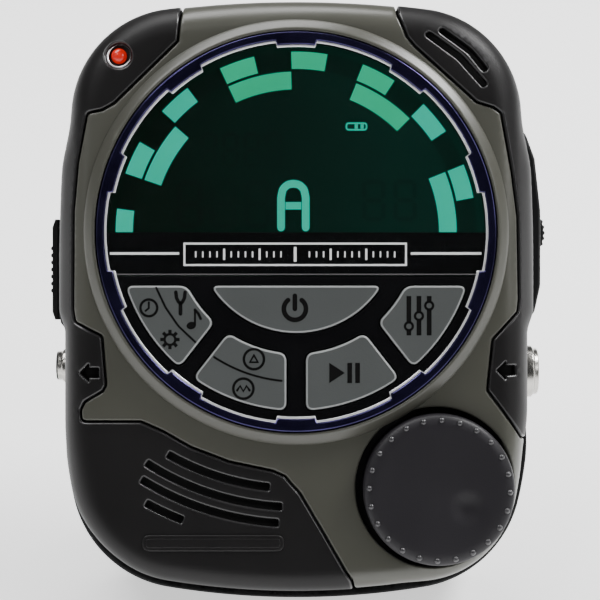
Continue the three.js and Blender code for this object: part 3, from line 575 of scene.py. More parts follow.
# Near-white half-metal for thin bright edges: a painted highlight, on the bezel ring's inner edge and round
# the status light.
PAINTED_HIGHLIGHT_TRIM = mat("painted_highlight_trim", (0.92, 0.92, 0.94), 0.22, metal=0.55, tint=0.04, tint_scale=150,
             grain=0.04)
STEEL = mat("nickel_plated_steel", (0.46, 0.45, 0.42), 0.24, metal=1.0, tint=0.08, grain=0.08,
            streak=(8, 1, 1), wear=0.3)
BRASS = mat("turned_brass", (0.55, 0.38, 0.14), 0.28, metal=1.0, tint=0.1, grain=0.08)
GLASS = mat("clear_acrylic_window", (0.96, 0.98, 0.98), 0.02, tint=0.01, rough_var=0.01, transmission=1.0,
            ior=1.33, spec=0.35)
LCD = mat("display_dark_green", (0.0005, 0.001, 0.001), 0.7, spec=0.1, tint=0.3, tint_scale=22, sweep=True,
          emission=((0.0001, 0.0055, 0.0023), (0.0002, 0.019, 0.012)), strength=0.9)
GHOST = mat("display_unlit_segment", (0.0004, 0.001, 0.001), 0.7, spec=0.1, tint=0.2, sweep=True,
            emission=((0.0001, 0.0042, 0.0018), (0.0002, 0.0130, 0.0078)), strength=0.9)
GREEN = mat("display_green_segment", (0.0, 0.02, 0.01), 0.7, spec=0.1, tint=0.05,
            emission=((0.0, 0.46, 0.22), (0.0, 0.52, 0.26)), strength=1.0)
AQUA = mat("display_aqua_segment", (0.0, 0.02, 0.015), 0.7, spec=0.1, tint=0.05,
           emission=((0.0, 0.50, 0.33), (0.0, 0.56, 0.38)), strength=1.0)
RED = mat("red_led_lens", (0.35, 0.004, 0.002), 0.16, tint=0.12, tint_scale=500, coat=0.2,
          emission=((0.55, 0.004, 0.001), (1.0, 0.03, 0.008)), strength=0.5)
BOARD = mat("green_circuit_board", (0.02, 0.10, 0.045), 0.45, grain=0.1, tint=0.15)
TIN = mat("tinned_can", (0.45, 0.46, 0.47), 0.35, metal=0.9, grain=0.08, tint=0.08)
PALE = mat("white_diffuser", (0.75, 0.78, 0.76), 0.6, grain=0.05, tint=0.04)
CLOTH = mat("black_speaker_cloth", (0.008, 0.008, 0.008), 0.95, grain=0.8, grain_scale=1800, tint=0.3)
WIRE = mat("red_wire", (0.45, 0.02, 0.015), 0.4, grain=0.05, tint=0.05)

SLOT_LOOK = {
    "shell_plastic": OLIVE, "black_plastic": BLACK, "grip_rubber": GRIP, "key_rubber": KEY,
    "bezel_chrome": BEZEL, "steel": STEEL, "brass": BRASS, "clear_lens": GLASS, "lcd_glass": LCD,
    "white_plastic": PALE, "board": BOARD, "red_lens": RED, "tin": TIN, "cloth": CLOTH, "wire_red": WIRE,
}
SLOT_OF = {look.name: name for name, look in SLOT_LOOK.items()}
for name, looks in {
    "black_plastic": (DARK, GLOSS, INK, GREY_INK), "grip_rubber": (GRIP_SHEEN_EDGE, WHEEL_RUBBER, GLOSSY_BEAD_SHEEN),
    "key_rubber": (KEY_HIGHLIGHT_EDGE,), "bezel_chrome": (PAINTED_HIGHLIGHT_TRIM,), "lcd_glass": (GHOST, GREEN, AQUA),
    "white_plastic": (WHITE_INK,),
}.items():
    SLOT_OF.update({look.name: name for look in looks})
for part in frame["record"]["subparts"]:
    node = frame["nodes"][part["node"]]
    look = SLOT_LOOK[part["material_slot"]]
    if not node.material_slots:
        node.data.materials.append(look)
    for slot in node.material_slots:
        slot.material = look

# ---- camera, lights and floor
scene = bpy.context.scene
camera_data = bpy.data.cameras.new("camera")
camera_data.sensor_width = 36
camera_data.lens = 112.9
camera_data.clip_start = 0.01
camera = bpy.data.objects.new("camera", camera_data)
scene.collection.objects.link(camera)
camera.matrix_world = DEVICE @ Matrix.Translation((0.00078, -0.0001, 0.4))
scene.camera = camera


SOFTBOXES = {  # name: place, size, power
    "left_softbox": ((-0.53, -0.29, 0.50), (0.26, 0.34), 0.25),
    "right_softbox": ((0.53, -0.27, 0.50), (0.26, 0.34), 1.3),
    "overhead_softbox": ((-0.24, 0.28, 0.80), (1.0, 0.30), 9.0),
    "right_top_softbox": ((0.50, 0.22, 0.66), (0.26, 0.26), 9),
    "upper_key": ((-0.24, -0.32, 0.68), (0.10, 0.10), 0.45),
}
MIDDLE = Vector((0, 0.02, 0.06))
for name, (at, size, power) in SOFTBOXES.items():
    data = bpy.data.lights.new(name, "AREA")
    data.shape = "RECTANGLE"
    data.size, data.size_y = size
    data.energy = power
    lamp = bpy.data.objects.new(name, data)
    scene.collection.objects.link(lamp)
    lamp.location = at
    lamp.rotation_euler = (MIDDLE - Vector(at)).to_track_quat("-Z", "Y").to_euler()
world = bpy.data.worlds.new("studio")
scene.world = world
world.use_nodes = True
sky = world.node_tree
sky_at = sky.nodes.new("ShaderNodeTexCoord")
sky_xyz = sky.nodes.new("ShaderNodeSeparateXYZ")
sky_ramp = sky.nodes.new("ShaderNodeValToRGB")
low, high = sky_ramp.color_ramp.elements
low.position, low.color = 0.08, (0.48, 0.485, 0.49, 1)
high.position, high.color = 0.22, (0.045, 0.046, 0.048, 1)
sky.links.new(sky_at.outputs["Generated"], sky_xyz.inputs["Vector"])
sky.links.new(sky_xyz.outputs["Z"], sky_ramp.inputs["Fac"])
sky.links.new(sky_ramp.outputs["Color"], sky.nodes["Background"].inputs["Color"])

floor_mesh = bpy.data.meshes.new("floor")
floor_mesh.from_pydata([(-4, -4, 0), (4, -4, 0), (4, 4, 0), (-4, 4, 0)], [], [(0, 1, 2, 3)])
floor_mesh.materials.append(mat("pale_floor", (0.88, 0.88, 0.88), 0.7, tint=0.01, tint_scale=3, spec=0.2,
                                emission=((1, 1, 1), (0.98, 0.98, 0.98)), strength=0.95))
floor = bpy.data.objects.new("floor", floor_mesh)
scene.collection.objects.link(floor)

# ---- seams between the front skins
LEFT_SEAM = [
    (-23.4, 63), (-24.2, 52.9), (-37.2, 40.2), (-39.7, 38.8), (-42.9, 38.2), (-44.9, 28), (-45.8, 18),
    (-45.9, -2), (-45.5, -4.6), (-39.7, -7.5), (-38.9, -17.5), (-39.6, -18.8), (-43.4, -21), (-44.2, -22.6),
    (-44.1, -25), (-31.8, -25), (-27.4, -26.9), (-21.6, -30.2), (-13.7, -33.2), (-4.7, -35.1), (-2.3, -36.2),
    (0.8, -39.8), (5.9, -48.4), (11.4, -58), (12.4, -63),
]
RIGHT_SEAM = [
    (20.6, 63), (20.8, 58.6), (22.7, 53.7), (24.3, 51.8), (36.9, 40.4), (40.4, 39.3), (42.0, 38.2),
    (44.3, 26), (45.5, 17), (45.8, 0), (45.5, -2.6), (40.2, -8.1), (39.1, -18.6), (46.4, -28.2), (52, -31),
]
JACKS = {1: (-15.3, -2.5, 5.2), -1: (-14.1, -2.2, 3.4)}  # side: y, z, radius of the hole in the wall


def seam_layout(points, shell):
    """The seam on the layout, carried on straight to the layout's edge at both ends."""
    p = dense(fillet(points, 1.1, closed=False), 0.7, closed=False)
    s, _ = outline_inset(p)
    p = p[s > shell.shift + 0.02]
    q = shell.flat_to_layout(p)
    s, n = outline_inset(q)
    reach = s + shell.edge - shell.shift
    run = lambda i: q[i] + n[i] * reach[i] * np.linspace(0, 1, 14)[1:, None]
    return np.vstack([run(0)[::-1], q, run(-1)])


def rim_line(shell, below):
    """The layout's outer line, dense, with the notches for the jacks."""
    line = dense(outline_points(shell.edge - shell.shift, 30), 0.55)
    for side, (y, z, r) in JACKS.items():
        z = z if below else -z
        hit = (np.sign(line[:, 0]) == side) & (np.abs(line[:, 1] - y) < r)
        deep = np.sqrt(np.clip(r * r - (line[:, 1] - y) ** 2, 0, None)) - z
        line[:, 0] -= side * np.where(hit, np.clip(deep, 0, None), 0)
    return line


def run_of(line, start, end):
    """The part of a closed line between the points nearest to start and end, without those."""
    a = np.argmin(np.linalg.norm(line - start, axis=1))
    b = np.argmin(np.linalg.norm(line - end, axis=1))
    order = np.arange(a, b + 1 if a <= b else b + 1 + len(line)) % len(line)
    return line[order][1:-1]


front_rim = rim_line(FRONT, below=False)
left_seam, right_seam = seam_layout(LEFT_SEAM, FRONT), seam_layout(RIGHT_SEAM, FRONT)
left_area = np.vstack([left_seam[::-1], run_of(front_rim, left_seam[0], left_seam[-1])])
right_area = np.vstack([right_seam, run_of(front_rim, right_seam[-1], right_seam[0])])
olive_area = np.vstack([
    left_seam, run_of(front_rim, left_seam[-1], right_seam[-1]), right_seam[::-1],
    run_of(front_rim, right_seam[0], left_seam[0]),
])


def trimmed(loop, gap=SEAM_GAP / 2):
    loop = loop if area(loop) > 0 else loop[::-1]
    return shrink(loop, gap)


def on_face(loop):
    return FRONT.flat_to_layout(loop)


# ---- front housing and grips
bezel_hole = circle(*FACE_AT, COLLAR_R, 220)
well_hole = on_face(circle(*WELL_AT, WELL_R, 160))
olive = panel("front_housing_skin", [trimmed(olive_area), bezel_hole, well_hole], FRONT, OLIVE, **SKIN)
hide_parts("front_shell")


def collar_mesh():
    """The raised collar round the bezel, its foot sunk in the housing."""
    n = 240
    rows = [  # radius, and height as a share of the rise from the foot
        (COLLAR_R, -1.2), (COLLAR_R, 0.88), (41.12, 0.96), (41.3, 1.0), (41.55, 0.98), (41.8, 0.9),
        (42.2, 0.74), (42.6, 0.57), (43.0, 0.4), (43.3, 0.26), (43.5, 0.13), (COLLAR_FOOT_R, 0.0),
        (COLLAR_FOOT_R, -1.2),
    ]
    foot = FRONT.at(on_face(circle(*FACE_AT, COLLAR_FOOT_R, n)))[:, 2] - 0.1
    v = []
    for r, k in rows:
        ring = circle(*FACE_AT, r, n)
        z = np.where(k >= 0, foot + (COLLAR_TOP - foot) * k, foot + 0.6 * k)
        v.append(np.column_stack([ring, z]))
    return np.vstack(v), [t[::-1] for t in grid_faces(len(rows), n)]


add_piece("bezel_collar", *collar_mesh(), OLIVE)
# The speaker slots are arcs round the face: radius, and the angles of the ends.
SPEAKER_SLOTS = [(52.5, 240, 264), (56.3, 237, 267), (59.7, 238, 266.5), (63.4, 241, 248.5)]
HALF_SLOT = 0.75
slot_loops = [
    on_face(dense(fillet(sector(r - HALF_SLOT, r + HALF_SLOT, a, b), 0.35), 0.6)) for r, a, b in SPEAKER_SLOTS
]


def arrow(x, y):
    """An arrow pointing left, counter-clockwise."""
    return np.array([(x - 2.1, y), (x - 0.1, y - 2.0), (x - 0.1, y - 1.0), (x + 1.9, y - 1.0),
                     (x + 1.9, y + 1.0), (x - 0.1, y + 1.0), (x - 0.1, y + 2.0)])


left_arrow = on_face(dense(fillet(arrow(-42.3, -15.0), 0.2), 0.5))
right_arrow = on_face(dense(fillet(arrow(43.1, -14.5), 0.2), 0.5))
led_hole = on_face(circle(*LED_AT, 2.75, 40))
# The grips' rounded rims, slot lips included, take the glossier, paler edge material: partly painted
# highlight.
GRIP_SKIN = {**SKIN, "lift": 0.2, "rim_slot": 1}
left_loops = [trimmed(left_area), *slot_loops, left_arrow, led_hole]
left_grip = panel("left_grip_skin", left_loops, FRONT, [GRIP, GRIP_SHEEN_EDGE], **GRIP_SKIN)
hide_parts("left_grip")

MIC_SLOTS = [[(30.0, 55.0), (35.6, 50.9), (38.5, 47.3)], [(27.2, 54.2), (33.5, 49.6), (38.3, 44.2)]]
mic_loops = [on_face(dense(stroke(fillet(line, 9, closed=False, steps=6), 1.4), 0.5)) for line in MIC_SLOTS]
right_loops = [trimmed(right_area), *mic_loops, right_arrow]
right_grip = panel("right_grip_skin", right_loops, FRONT, [GRIP, GRIP_SHEEN_EDGE], **GRIP_SKIN)
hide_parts("right_grip")

# The arrow recess floors take the near-black ink material, darker than the grip rubber round them.
for side, loop in (("left", left_arrow), ("right", right_arrow)):
    panel(side + "_arrow_floor", [shrink(loop, -0.1)], FRONT, INK, round=0.02, depth=1.4, lift=-0.9,
          spacing=0.8)
nameplate = dense(fillet([(-31.5, -51.6), (-2.5, -51.6), (-2.5, -48.2), (-31.5, -48.2)], 1.6), 0.8)
panel("blank_raised_plate", [nameplate], FRONT, GRIP, round=0.3, depth=0.2, lift=0.5)
panel("blank_plate_centre", [shrink(nameplate, 0.75)], FRONT, GRIP, round=0.12, depth=0.1, lift=0.62)
liner_rim = trimmed(outline_points(FRONT.edge - FRONT.shift - 0.3, 24), 0.05)
liner_holes = [circle(*FACE_AT, COLLAR_R - 0.05, 120), on_face(circle(*WELL_AT, WELL_R + 0.35, 90))]
panel("front_liner", [liner_rim, *liner_holes], FRONT, DARK, round=0.02, depth=2.4, lift=-1.7, spacing=2.2)


def well_wall():
    """The wheel's well, as a tube whose top follows the housing."""
    n = 160
    ring = circle(*WELL_AT, WELL_R + 0.05, n)
    top = FRONT.at(on_face(ring))[:, 2] - 0.3
    out = circle(*WELL_AT, WELL_R + 0.4, n)
    out_top = np.minimum(FRONT.at(on_face(out))[:, 2] - 1.2, top)
    low = np.minimum(top - 0.6, WELL_FLOOR)
    v = np.vstack([np.column_stack([ring, top]), np.column_stack([ring, low]),
                   np.column_stack([out, low - 0.2]), np.column_stack([out, out_top])])
    return v, [(a, d, c, b) for a, b, c, d in grid_faces(4, n)]


add_piece("wheel_well_wall", *well_wall(), BLACK)
turned("wheel_well_floor", [(5.4, 9.2), (16.7, 9.2), (16.7, 9.65), (5.4, 9.65)], (*WELL_AT, 0), BLACK)

# ---- bezel
def bezel_inner(shift=0.0):
    """The ring's inner edge, with ten tabs."""
    tab, base, half, sliver = 38.2, 39.2, 6.0, 0.003
    out = []
    for middle in range(90, 450, 36):
        a0, a1, a2 = (math.radians(middle + a) for a in (-half, half, 36 - half))
        out.append(arc(*FACE_AT, tab - shift, a0 + sliver, a1 - sliver, 0.7))
        out.append(arc(*FACE_AT, base - shift, a1 + sliver, a2 - sliver, 0.7))
    return np.vstack(out)


ring_loops = [circle(*FACE_AT, BEZEL_R, 240), bezel_inner()]
ring = panel("bezel_ring_fine", ring_loops, Plane(BEZEL_TOP), BEZEL, round=0.3, depth=2.6, spacing=None,
             steps=4)
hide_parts("bezel_ring")
# The ring's inner edge carries a thin near-white band: a painted highlight.
edge_loops = [bezel_inner(0.03), bezel_inner(0.5)]
panel("bezel_painted_highlight_edge", edge_loops, Plane(BEZEL_TOP - 0.2), PAINTED_HIGHLIGHT_TRIM, round=0.14, depth=0.7, spacing=None)

# ---- display
def face_segment(radius, y, above, step=1.0):
    """The part of the round face above or below the height y."""
    a = math.asin((y - FACE_AT[1]) / radius)
    return arc(*FACE_AT, radius, *((a, math.pi - a) if above else (math.pi - a, 2 * math.pi + a)), step)


window_loop = dense(face_segment(WINDOW_R, 4.95, True), 2)
window = panel("display_window", [window_loop], Plane(WINDOW_TOP), GLASS, round=0.08, depth=WINDOW_DEPTH,
               spacing=None, steps=2)
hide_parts("display_lens")
back = decal("display_back", [[face_segment(LCD_R, LCD_LOW, True)]], LCD_TOP, LCD, thick=1.7)
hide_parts("lcd_panel")
low_line, high_line = (face_segment(39.3, y, True) for y in (5.0, LCD_LOW))
band = np.vstack([low_line[:1], high_line[:1], high_line[-1:], low_line[-1:]])
decal("display_lower_mask", [[dense(band, 2)]], 14.2, GLOSS, thick=0.1)

# The lit segments of the two rings: the angles of their ends.
OUTER_RING, INNER_RING = (33.45, 37.0), (29.25, 32.9)
OUTER = [(11, 22), (34, 45.2), (57, 68.3), (80, 91.6), (103.5, 115), (127, 138), (150, 161), (172.5, 180)]
INNER = [(0, 22), (45, 68), (91.8, 115), (138.8, 161)]
UNLIT = [(22.4, 33.6), (45.6, 56.6), (68.7, 79.6), (92.0, 103.1), (115.4, 126.6), (138.4, 149.6),
         (161.4, 172.1), (0, 10.6)]
bright, aqua = [], []
for radii, spans in ((OUTER_RING, OUTER), (INNER_RING, INNER)):
    for a, b in spans:
        (bright if 50 < (a + b) / 2 < 120 else aqua).append([sector(*radii, a, b)])


def digit(x, y, w, h, t):
    """The seven bars of one unlit digit."""
    g = t * 0.35
    bars = []
    for cy in (y + t / 2, y + h / 2, y + h - t / 2):
        bars.append(np.array([(x + t * 0.8 + g, cy - t / 2), (x + w - t * 0.8 - g, cy - t / 2),
                              (x + w - t * 0.4 - g, cy), (x + w - t * 0.8 - g, cy + t / 2),
                              (x + t * 0.8 + g, cy + t / 2), (x + t * 0.4 + g, cy)]))
    for cx in (x + t / 2, x + w - t / 2):
        for y0, y1 in ((y + t * 0.4, y + h / 2 - g), (y + h / 2 + g, y + h - t * 0.4)):
            bars.append(np.array([(cx - t / 2, y0 + t / 2), (cx, y0), (cx + t / 2, y0 + t / 2),
                                  (cx + t / 2, y1 - t / 2), (cx, y1), (cx - t / 2, y1 - t / 2)]))
    return [[bar] for bar in bars]


ghosts = []
for count, first, apart, shape in ((4, -19.6, 4.4, (27.0, 3.4, 7.2, 0.75)),
                                   (3, -24.6, 7.0, (14.6, 5.4, 9.8, 1.0)),
                                   (2, 13.5, 6.4, (16.0, 4.8, 8.6, 0.9))):
    for k in range(count):
        ghosts += digit(first + apart * k, *shape)
ghosts += [[sector(*OUTER_RING, a, b)] for a, b in UNLIT]
decal("display_unlit_marks", ghosts, 14.05, GHOST, thick=0.04)
decal("display_green_marks", bright, LIT_Z, GREEN, thick=0.06)

# the lit note letter and the battery sign
left_leg, right_leg = -3.1, 1.95
arch = [(left_leg, 14.75), (left_leg, 20.9), (-2.75, 22.6), (-1.75, 23.55), (-0.575, 23.75), (0.6, 23.55),
        (1.6, 22.6), (right_leg, 20.9), (right_leg, 14.75)]
note = stroke(dense(fillet(arch, 1.5, closed=False), 0.4, closed=False), 1.6)
crossbar = stroke([(left_leg + 0.9, 19.2), (right_leg - 0.9, 19.2)], 1.55, caps=False)
cell = fillet([(10.1, 34.6), (14.6, 34.6), (14.6, 36.3), (10.1, 36.3)], 0.85)
battery = [[cell, shrink(cell, 0.36)], [stroke([(12.3, 35.0), (12.3, 35.9)], 0.7, caps=False)],
           [stroke([(13.5, 35.0), (13.5, 35.9)], 0.7, caps=False)]]
decal("display_aqua_marks", aqua + [[note], [crossbar]] + battery, LIT_Z, AQUA, thick=0.06)

# printed band: two lines and a framed tuning scale
PRINT_Z = 16.05
box_loop = np.array([(-23.0, 6.85), (22.6, 6.85), (22.6, 11.6), (-23.0, 11.6)])
prints = [[stroke([(a, 9.4), (b, 9.4)], 0.5, caps=False)] for a, b in ((-38.0, -23.9), (23.4, 37.8))]
prints.append([box_loop, shrink(box_loop, 0.38)])
SCALE_AT, TICK = (-0.2, 9.22), 1.45
for k in range(-14, 15):
    x = SCALE_AT[0] + TICK * k
    tall, wide = (3.0, 0.55) if k == 0 else (2.3, 0.42) if k % 5 == 0 else (1.2, 0.28)
    if abs(k) != 1:
        prints.append([stroke([(x, SCALE_AT[1] - tall / 2), (x, SCALE_AT[1] + tall / 2)], wide, caps=False)])
decal("printed_white_marks", prints, PRINT_Z, WHITE_INK)
decal("printed_grey_line", [[stroke([(-37.6, 5.15), (37.6, 5.15)], 0.22, caps=False)]], PRINT_Z, GREY_INK)

# ---- keys
KEY_TOP, KEY_Y = 16.9, 2.8
INNER_R, OUTER_R, POWER_R, HALF_GAP, SPLIT_GAP, SPLIT = 24.8, 36.45, 20.6, 2.0, 1.75, math.radians(232)
BELOW = KEY_Y - FACE_AT[1]


def key_sector(start, end):
    """A key between two sides, each given as its angle at a radius."""
    return np.vstack([arc(*FACE_AT, OUTER_R, start(OUTER_R), end(OUTER_R), 1.0),
                      arc(*FACE_AT, INNER_R, end(INNER_R), start(INNER_R), 1.0)])


chord = lambda r: math.pi - math.asin(BELOW / r)
split = lambda side: lambda r: SPLIT + side * math.asin(SPLIT_GAP / r)
centre_gap = lambda r: 1.5 * math.pi - math.asin(HALF_GAP / r)
mirrored = lambda p: (p * np.array([-1, 1]))[::-1]
upper_left, lower_left = key_sector(chord, split(-1)), key_sector(split(1), centre_gap)
power = arc(*FACE_AT, POWER_R, chord(POWER_R), 3 * math.pi - chord(POWER_R), 1.0)


def soft_corners(loop, radius):
    """Rounds only the sharp corners of a dense loop."""
    e = np.roll(loop, -1, 0) - loop
    h = np.arctan2(e[:, 1], e[:, 0])
    turn = np.abs((h - np.roll(h, 1) + math.pi) % (2 * math.pi) - math.pi)
    marks = np.where(turn > math.radians(25))[0]
    out = []
    for j, i in enumerate(marks):
        nxt = marks[(j + 1) % len(marks)]
        idx = np.arange(i, nxt + 1 if nxt > i else nxt + 1 + len(loop)) % len(loop)
        side = dense(loop[idx], 0.25, closed=False)
        run = np.concatenate([[0], np.cumsum(np.linalg.norm(np.diff(side, axis=0), axis=1))])
        keep = (run > radius) & (run < run[-1] - radius)
        out.append((side[keep], loop[i]))
    res = []
    for j, (side, at) in enumerate(out):
        before = out[j - 1][0][-1]
        first = side[0]
        t = np.linspace(0, 1, 7)[1:-1, None]
        res.append((1 - t) ** 2 * before + 2 * t * (1 - t) * at + t * t * first)
        res.append(side[:-1:3])
        res.append(side[-1:])
    return np.vstack(res)


KEY_CORNER, KEY_GAP = 1.6, 0.28
KEY_LOOPS = {
    name: soft_corners(loop, KEY_CORNER) for name, loop in {
        "key_menu": upper_left, "key_note": lower_left, "key_power": power, "key_play": mirrored(lower_left),
        "key_levels": mirrored(upper_left),
    }.items()
}
key_holes = [shrink(l, -KEY_GAP) for l in KEY_LOOPS.values()]
surround = panel("key_surround", [face_segment(WINDOW_R, 4.75, False), *key_holes], Plane(WINDOW_TOP), GLOSS,
                 round=0.15, depth=WINDOW_DEPTH, spacing=4)
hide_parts("key_frame")
# Each key's rounded rim takes the pale key-edge material: a painted highlight.
for name, loop in KEY_LOOPS.items():
    cap = panel(name + "_top", [loop], Plane(KEY_TOP), [KEY, KEY_HIGHLIGHT_EDGE], round=0.38, depth=3.2, spacing=1.6,
                rim_slot=1, steps=4, body=name + "_cap")
    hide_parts(name)

INK_Z = KEY_TOP + 0.03
ring_of = lambda x, y, r, w, n=40: [circle(x, y, r + w / 2, n), circle(x, y, r - w / 2, n)]


def icon(key, figures):
    decal(key + "_icon", figures, INK_Z, INK, thick=0.04, body=key + "_cap")


opening = math.radians(38)
icon("key_power", [
    [stroke(arc(-0.26, -1.9, 2.25, math.pi / 2 + opening, 2.5 * math.pi - opening, 0.25), 0.95)],
    [stroke([(-0.26, -1.9), (-0.26, 0.75)], 0.95)],
])
gear_loop = []
for k in range(8):
    for da, r in ((-0.25, 1.35), (-0.17, 2.0), (0.17, 2.0), (0.25, 1.35)):
        a = math.pi / 4 * k + da
        gear_loop.append((-25.7 + r * math.cos(a), -8.15 + r * math.sin(a)))
divide = [(-28.5, 2.4), (-26.6, -1.6), (-24.0, -5.4), (-20.5, -8.7)]
fork = [
    [stroke([(-24.5, 1.5), (-24.35, 0.3), (-23.95, -0.5), (-23.55, -0.8)], 0.7)],
    [stroke([(-22.6, 1.5), (-22.75, 0.3), (-23.15, -0.5), (-23.55, -0.8)], 0.7)],
    [stroke([(-23.55, -0.7), (-23.55, -2.9)], 0.75)],
]
t = np.arange(20) * math.pi / 10
quaver = [
    [np.stack([-21.35 + 0.95 * np.cos(t) - 0.2 * np.sin(t), -5.3 + 0.72 * np.sin(t) + 0.25 * np.cos(t)], 1)],
    [stroke([(-20.6, -5.2), (-20.6, -2.1)], 0.42, caps=False)],
    [stroke([(-20.6, -2.1), (-19.9, -2.9), (-19.45, -3.9)], 0.55)],
]
icon("key_menu", [
    ring_of(-30.0, -1.7, 1.7, 0.5), [stroke([(-30.0, -0.6), (-30.0, -1.75), (-30.65, -2.3)], 0.42)],
    [np.array(gear_loop), circle(-25.7, -8.15, 0.85, 24)],
    [stroke(dense(fillet(divide, 6, closed=False), 0.5, closed=False), 0.42)], *fork, *quaver,
])
zigzag = [(-12.0, -18.5), (-11.4, -17.6), (-10.75, -18.7), (-10.1, -17.6), (-9.5, -18.5)]
icon("key_note", [
    ring_of(-8.6, -12.15, 2.05, 0.52), [fillet([(-9.7, -12.95), (-7.5, -12.95), (-8.6, -10.95)], 0.15),
                                        fillet([(-9.15, -12.6), (-8.05, -12.6), (-8.6, -11.7)], 0.05)],
    ring_of(-10.75, -18.15, 2.05, 0.52), [stroke(zigzag, 0.5)],
    [stroke(arc(*FACE_AT, 30.5, math.radians(236.8), math.radians(264.4), 0.8), 0.42)],
])
icon("key_play", [
    [np.array([(6.75, -17.0), (9.9, -14.95), (6.75, -12.9)])],
    *[[stroke([(x, -17.0), (x, -12.9)], 0.95, caps=False)] for x in (10.9, 12.5)],
])
levels = []
for x, knob in ((22.95, -5.45), (25.0, -3.35), (27.08, -1.25)):
    for a, b in ((0.7, knob + 0.75), (knob - 0.75, -7.3)):
        levels.append([stroke([(x, a), (x, b)], 0.95, caps=False)])
    levels.append(ring_of(x, knob, 0.8, 0.5, 28))
icon("key_levels", levels)

# ---- data wheel
inner = [(r, 18.6 + 0.0012 * r * r) for r in np.linspace(12.4, 1.6, 12)]
wheel_profile = [(15.15, 10.4), (15.4, 10.65), (15.45, 11.2), (15.45, 17.1), (15.38, 17.6), (15.15, 18.02),
                 (14.8, 18.3), (14.35, 18.5), (13.8, 18.66), (13.2, 18.76), *inner]


def wheel_mesh():
    """The wheel's cap, with a finger dimple in its top."""
    n = 144
    prof = np.array(wheel_profile)
    t = np.arange(n) * 2 * math.pi / n
    v = np.stack([prof[None, :, 0] * np.cos(t)[:, None], prof[None, :, 0] * np.sin(t)[:, None],
                  np.broadcast_to(prof[:, 1], (n, len(prof)))], 2).reshape(-1, 3)
    top = v[:, 2] > 18.5
    d = np.hypot(v[:, 0] - 5.7, v[:, 1] + 3.6)
    v[:, 2] -= np.where(top, 0.75 * smooth(1 - d / 4.4), 0)
    m = len(prof)
    f = grid_faces(n, m, closed=False)
    f += [tuple(range(m - 1, n * m, m)), tuple(range(0, n * m, m))[::-1]]
    v[:, :2] += WHEEL_AT
    return v, f


def bead_mesh():
    """The half-sunk beads round the wheel's top."""
    v, f = [], []
    for k in range(24):
        a = math.radians(15 * k - 1.7)
        c = np.array([*(WHEEL_AT + 14.25 * np.array([math.cos(a), math.sin(a)])), 18.32])
        base = len(v)
        for lat in (-25, 0, 25, 50, 72):
            for lon in range(14):
                u, w = math.radians(lat), 2 * math.pi * lon / 14
                ray = (math.cos(u) * math.cos(w), math.cos(u) * math.sin(w), math.sin(u))
                v.append(c + 0.66 * np.array(ray))
        v += [c + np.array([0, 0, 0.66]), c - np.array([0, 0, 0.4])]
        for row in range(4):
            for lon in range(14):
                q, t = base + row * 14 + lon, base + row * 14 + (lon + 1) % 14
                f.append((q, t, t + 14, q + 14))
        for lon in range(14):
            f += [(base + 56 + lon, base + 56 + (lon + 1) % 14, base + 70),
                  (base + (lon + 1) % 14, base + lon, base + 71)]
    return np.array(v), f


wheel = add_piece("data_wheel_cap", *wheel_mesh(), WHEEL_RUBBER, body="data_wheel_unit")
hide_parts("data_wheel")
wheel.data.set_sharp_from_angle(angle=math.radians(50))
add_piece("data_wheel_beads", *bead_mesh(), GLOSSY_BEAD_SHEEN, body="data_wheel_unit")

# ---- status light
led_face = FRONT.at(on_face(LED_AT[None]))[0][2]
DOME_R = 1.6
dome = [(DOME_R * math.cos(a), led_face - DOME_R + 1.3 * math.sin(a)) for a in np.linspace(0, 1.5, 8)]
dome = [(0.02, 9.0), (DOME_R, 9.0), *dome, (0.02, led_face - 0.3)]
led = turned("status_light_lens", dome, (*LED_AT, 0), RED, 48)
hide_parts("status_led")
ring_loop = FRONT.at(on_face(circle(*LED_AT, 2.45, 48)), 0.5)


def tube(name, path, radius, material, sides=10):
    """A closed ring of round section along the path; radius may change along it."""
    n = len(path)
    tangent = np.roll(path, -1, 0) - np.roll(path, 1, 0)
    tangent /= np.linalg.norm(tangent, axis=1)[:, None]
    centre = path.mean(0)
    out = path - centre
    out -= tangent * np.sum(out * tangent, 1)[:, None]
    out /= np.linalg.norm(out, axis=1)[:, None]
    up = np.cross(tangent, out)
    a = np.arange(sides) * 2 * math.pi / sides
    radius = np.broadcast_to(radius, n)[:, None, None]
    around = np.cos(a)[None, :, None] * out[:, None] + np.sin(a)[None, :, None] * up[:, None]
    v = (path[:, None] + radius * around).reshape(-1, 3)
    return add_piece(name, v, grid_faces(n, sides), material)


# A near-white ring round the status light, thick only on its lower left: a painted glint.
glint_crescent = 0.01 + 0.22 * smooth(0.5 + 0.9 * np.cos(np.arange(48) * math.pi / 24 - math.radians(235)))
tube("status_light_glint_ring", ring_loop, glint_crescent, PAINTED_HIGHLIGHT_TRIM)
decal("status_light_floor", [[circle(*LED_AT, 3.0, 40)]], led_face - 2.2, DARK, thick=0.3)

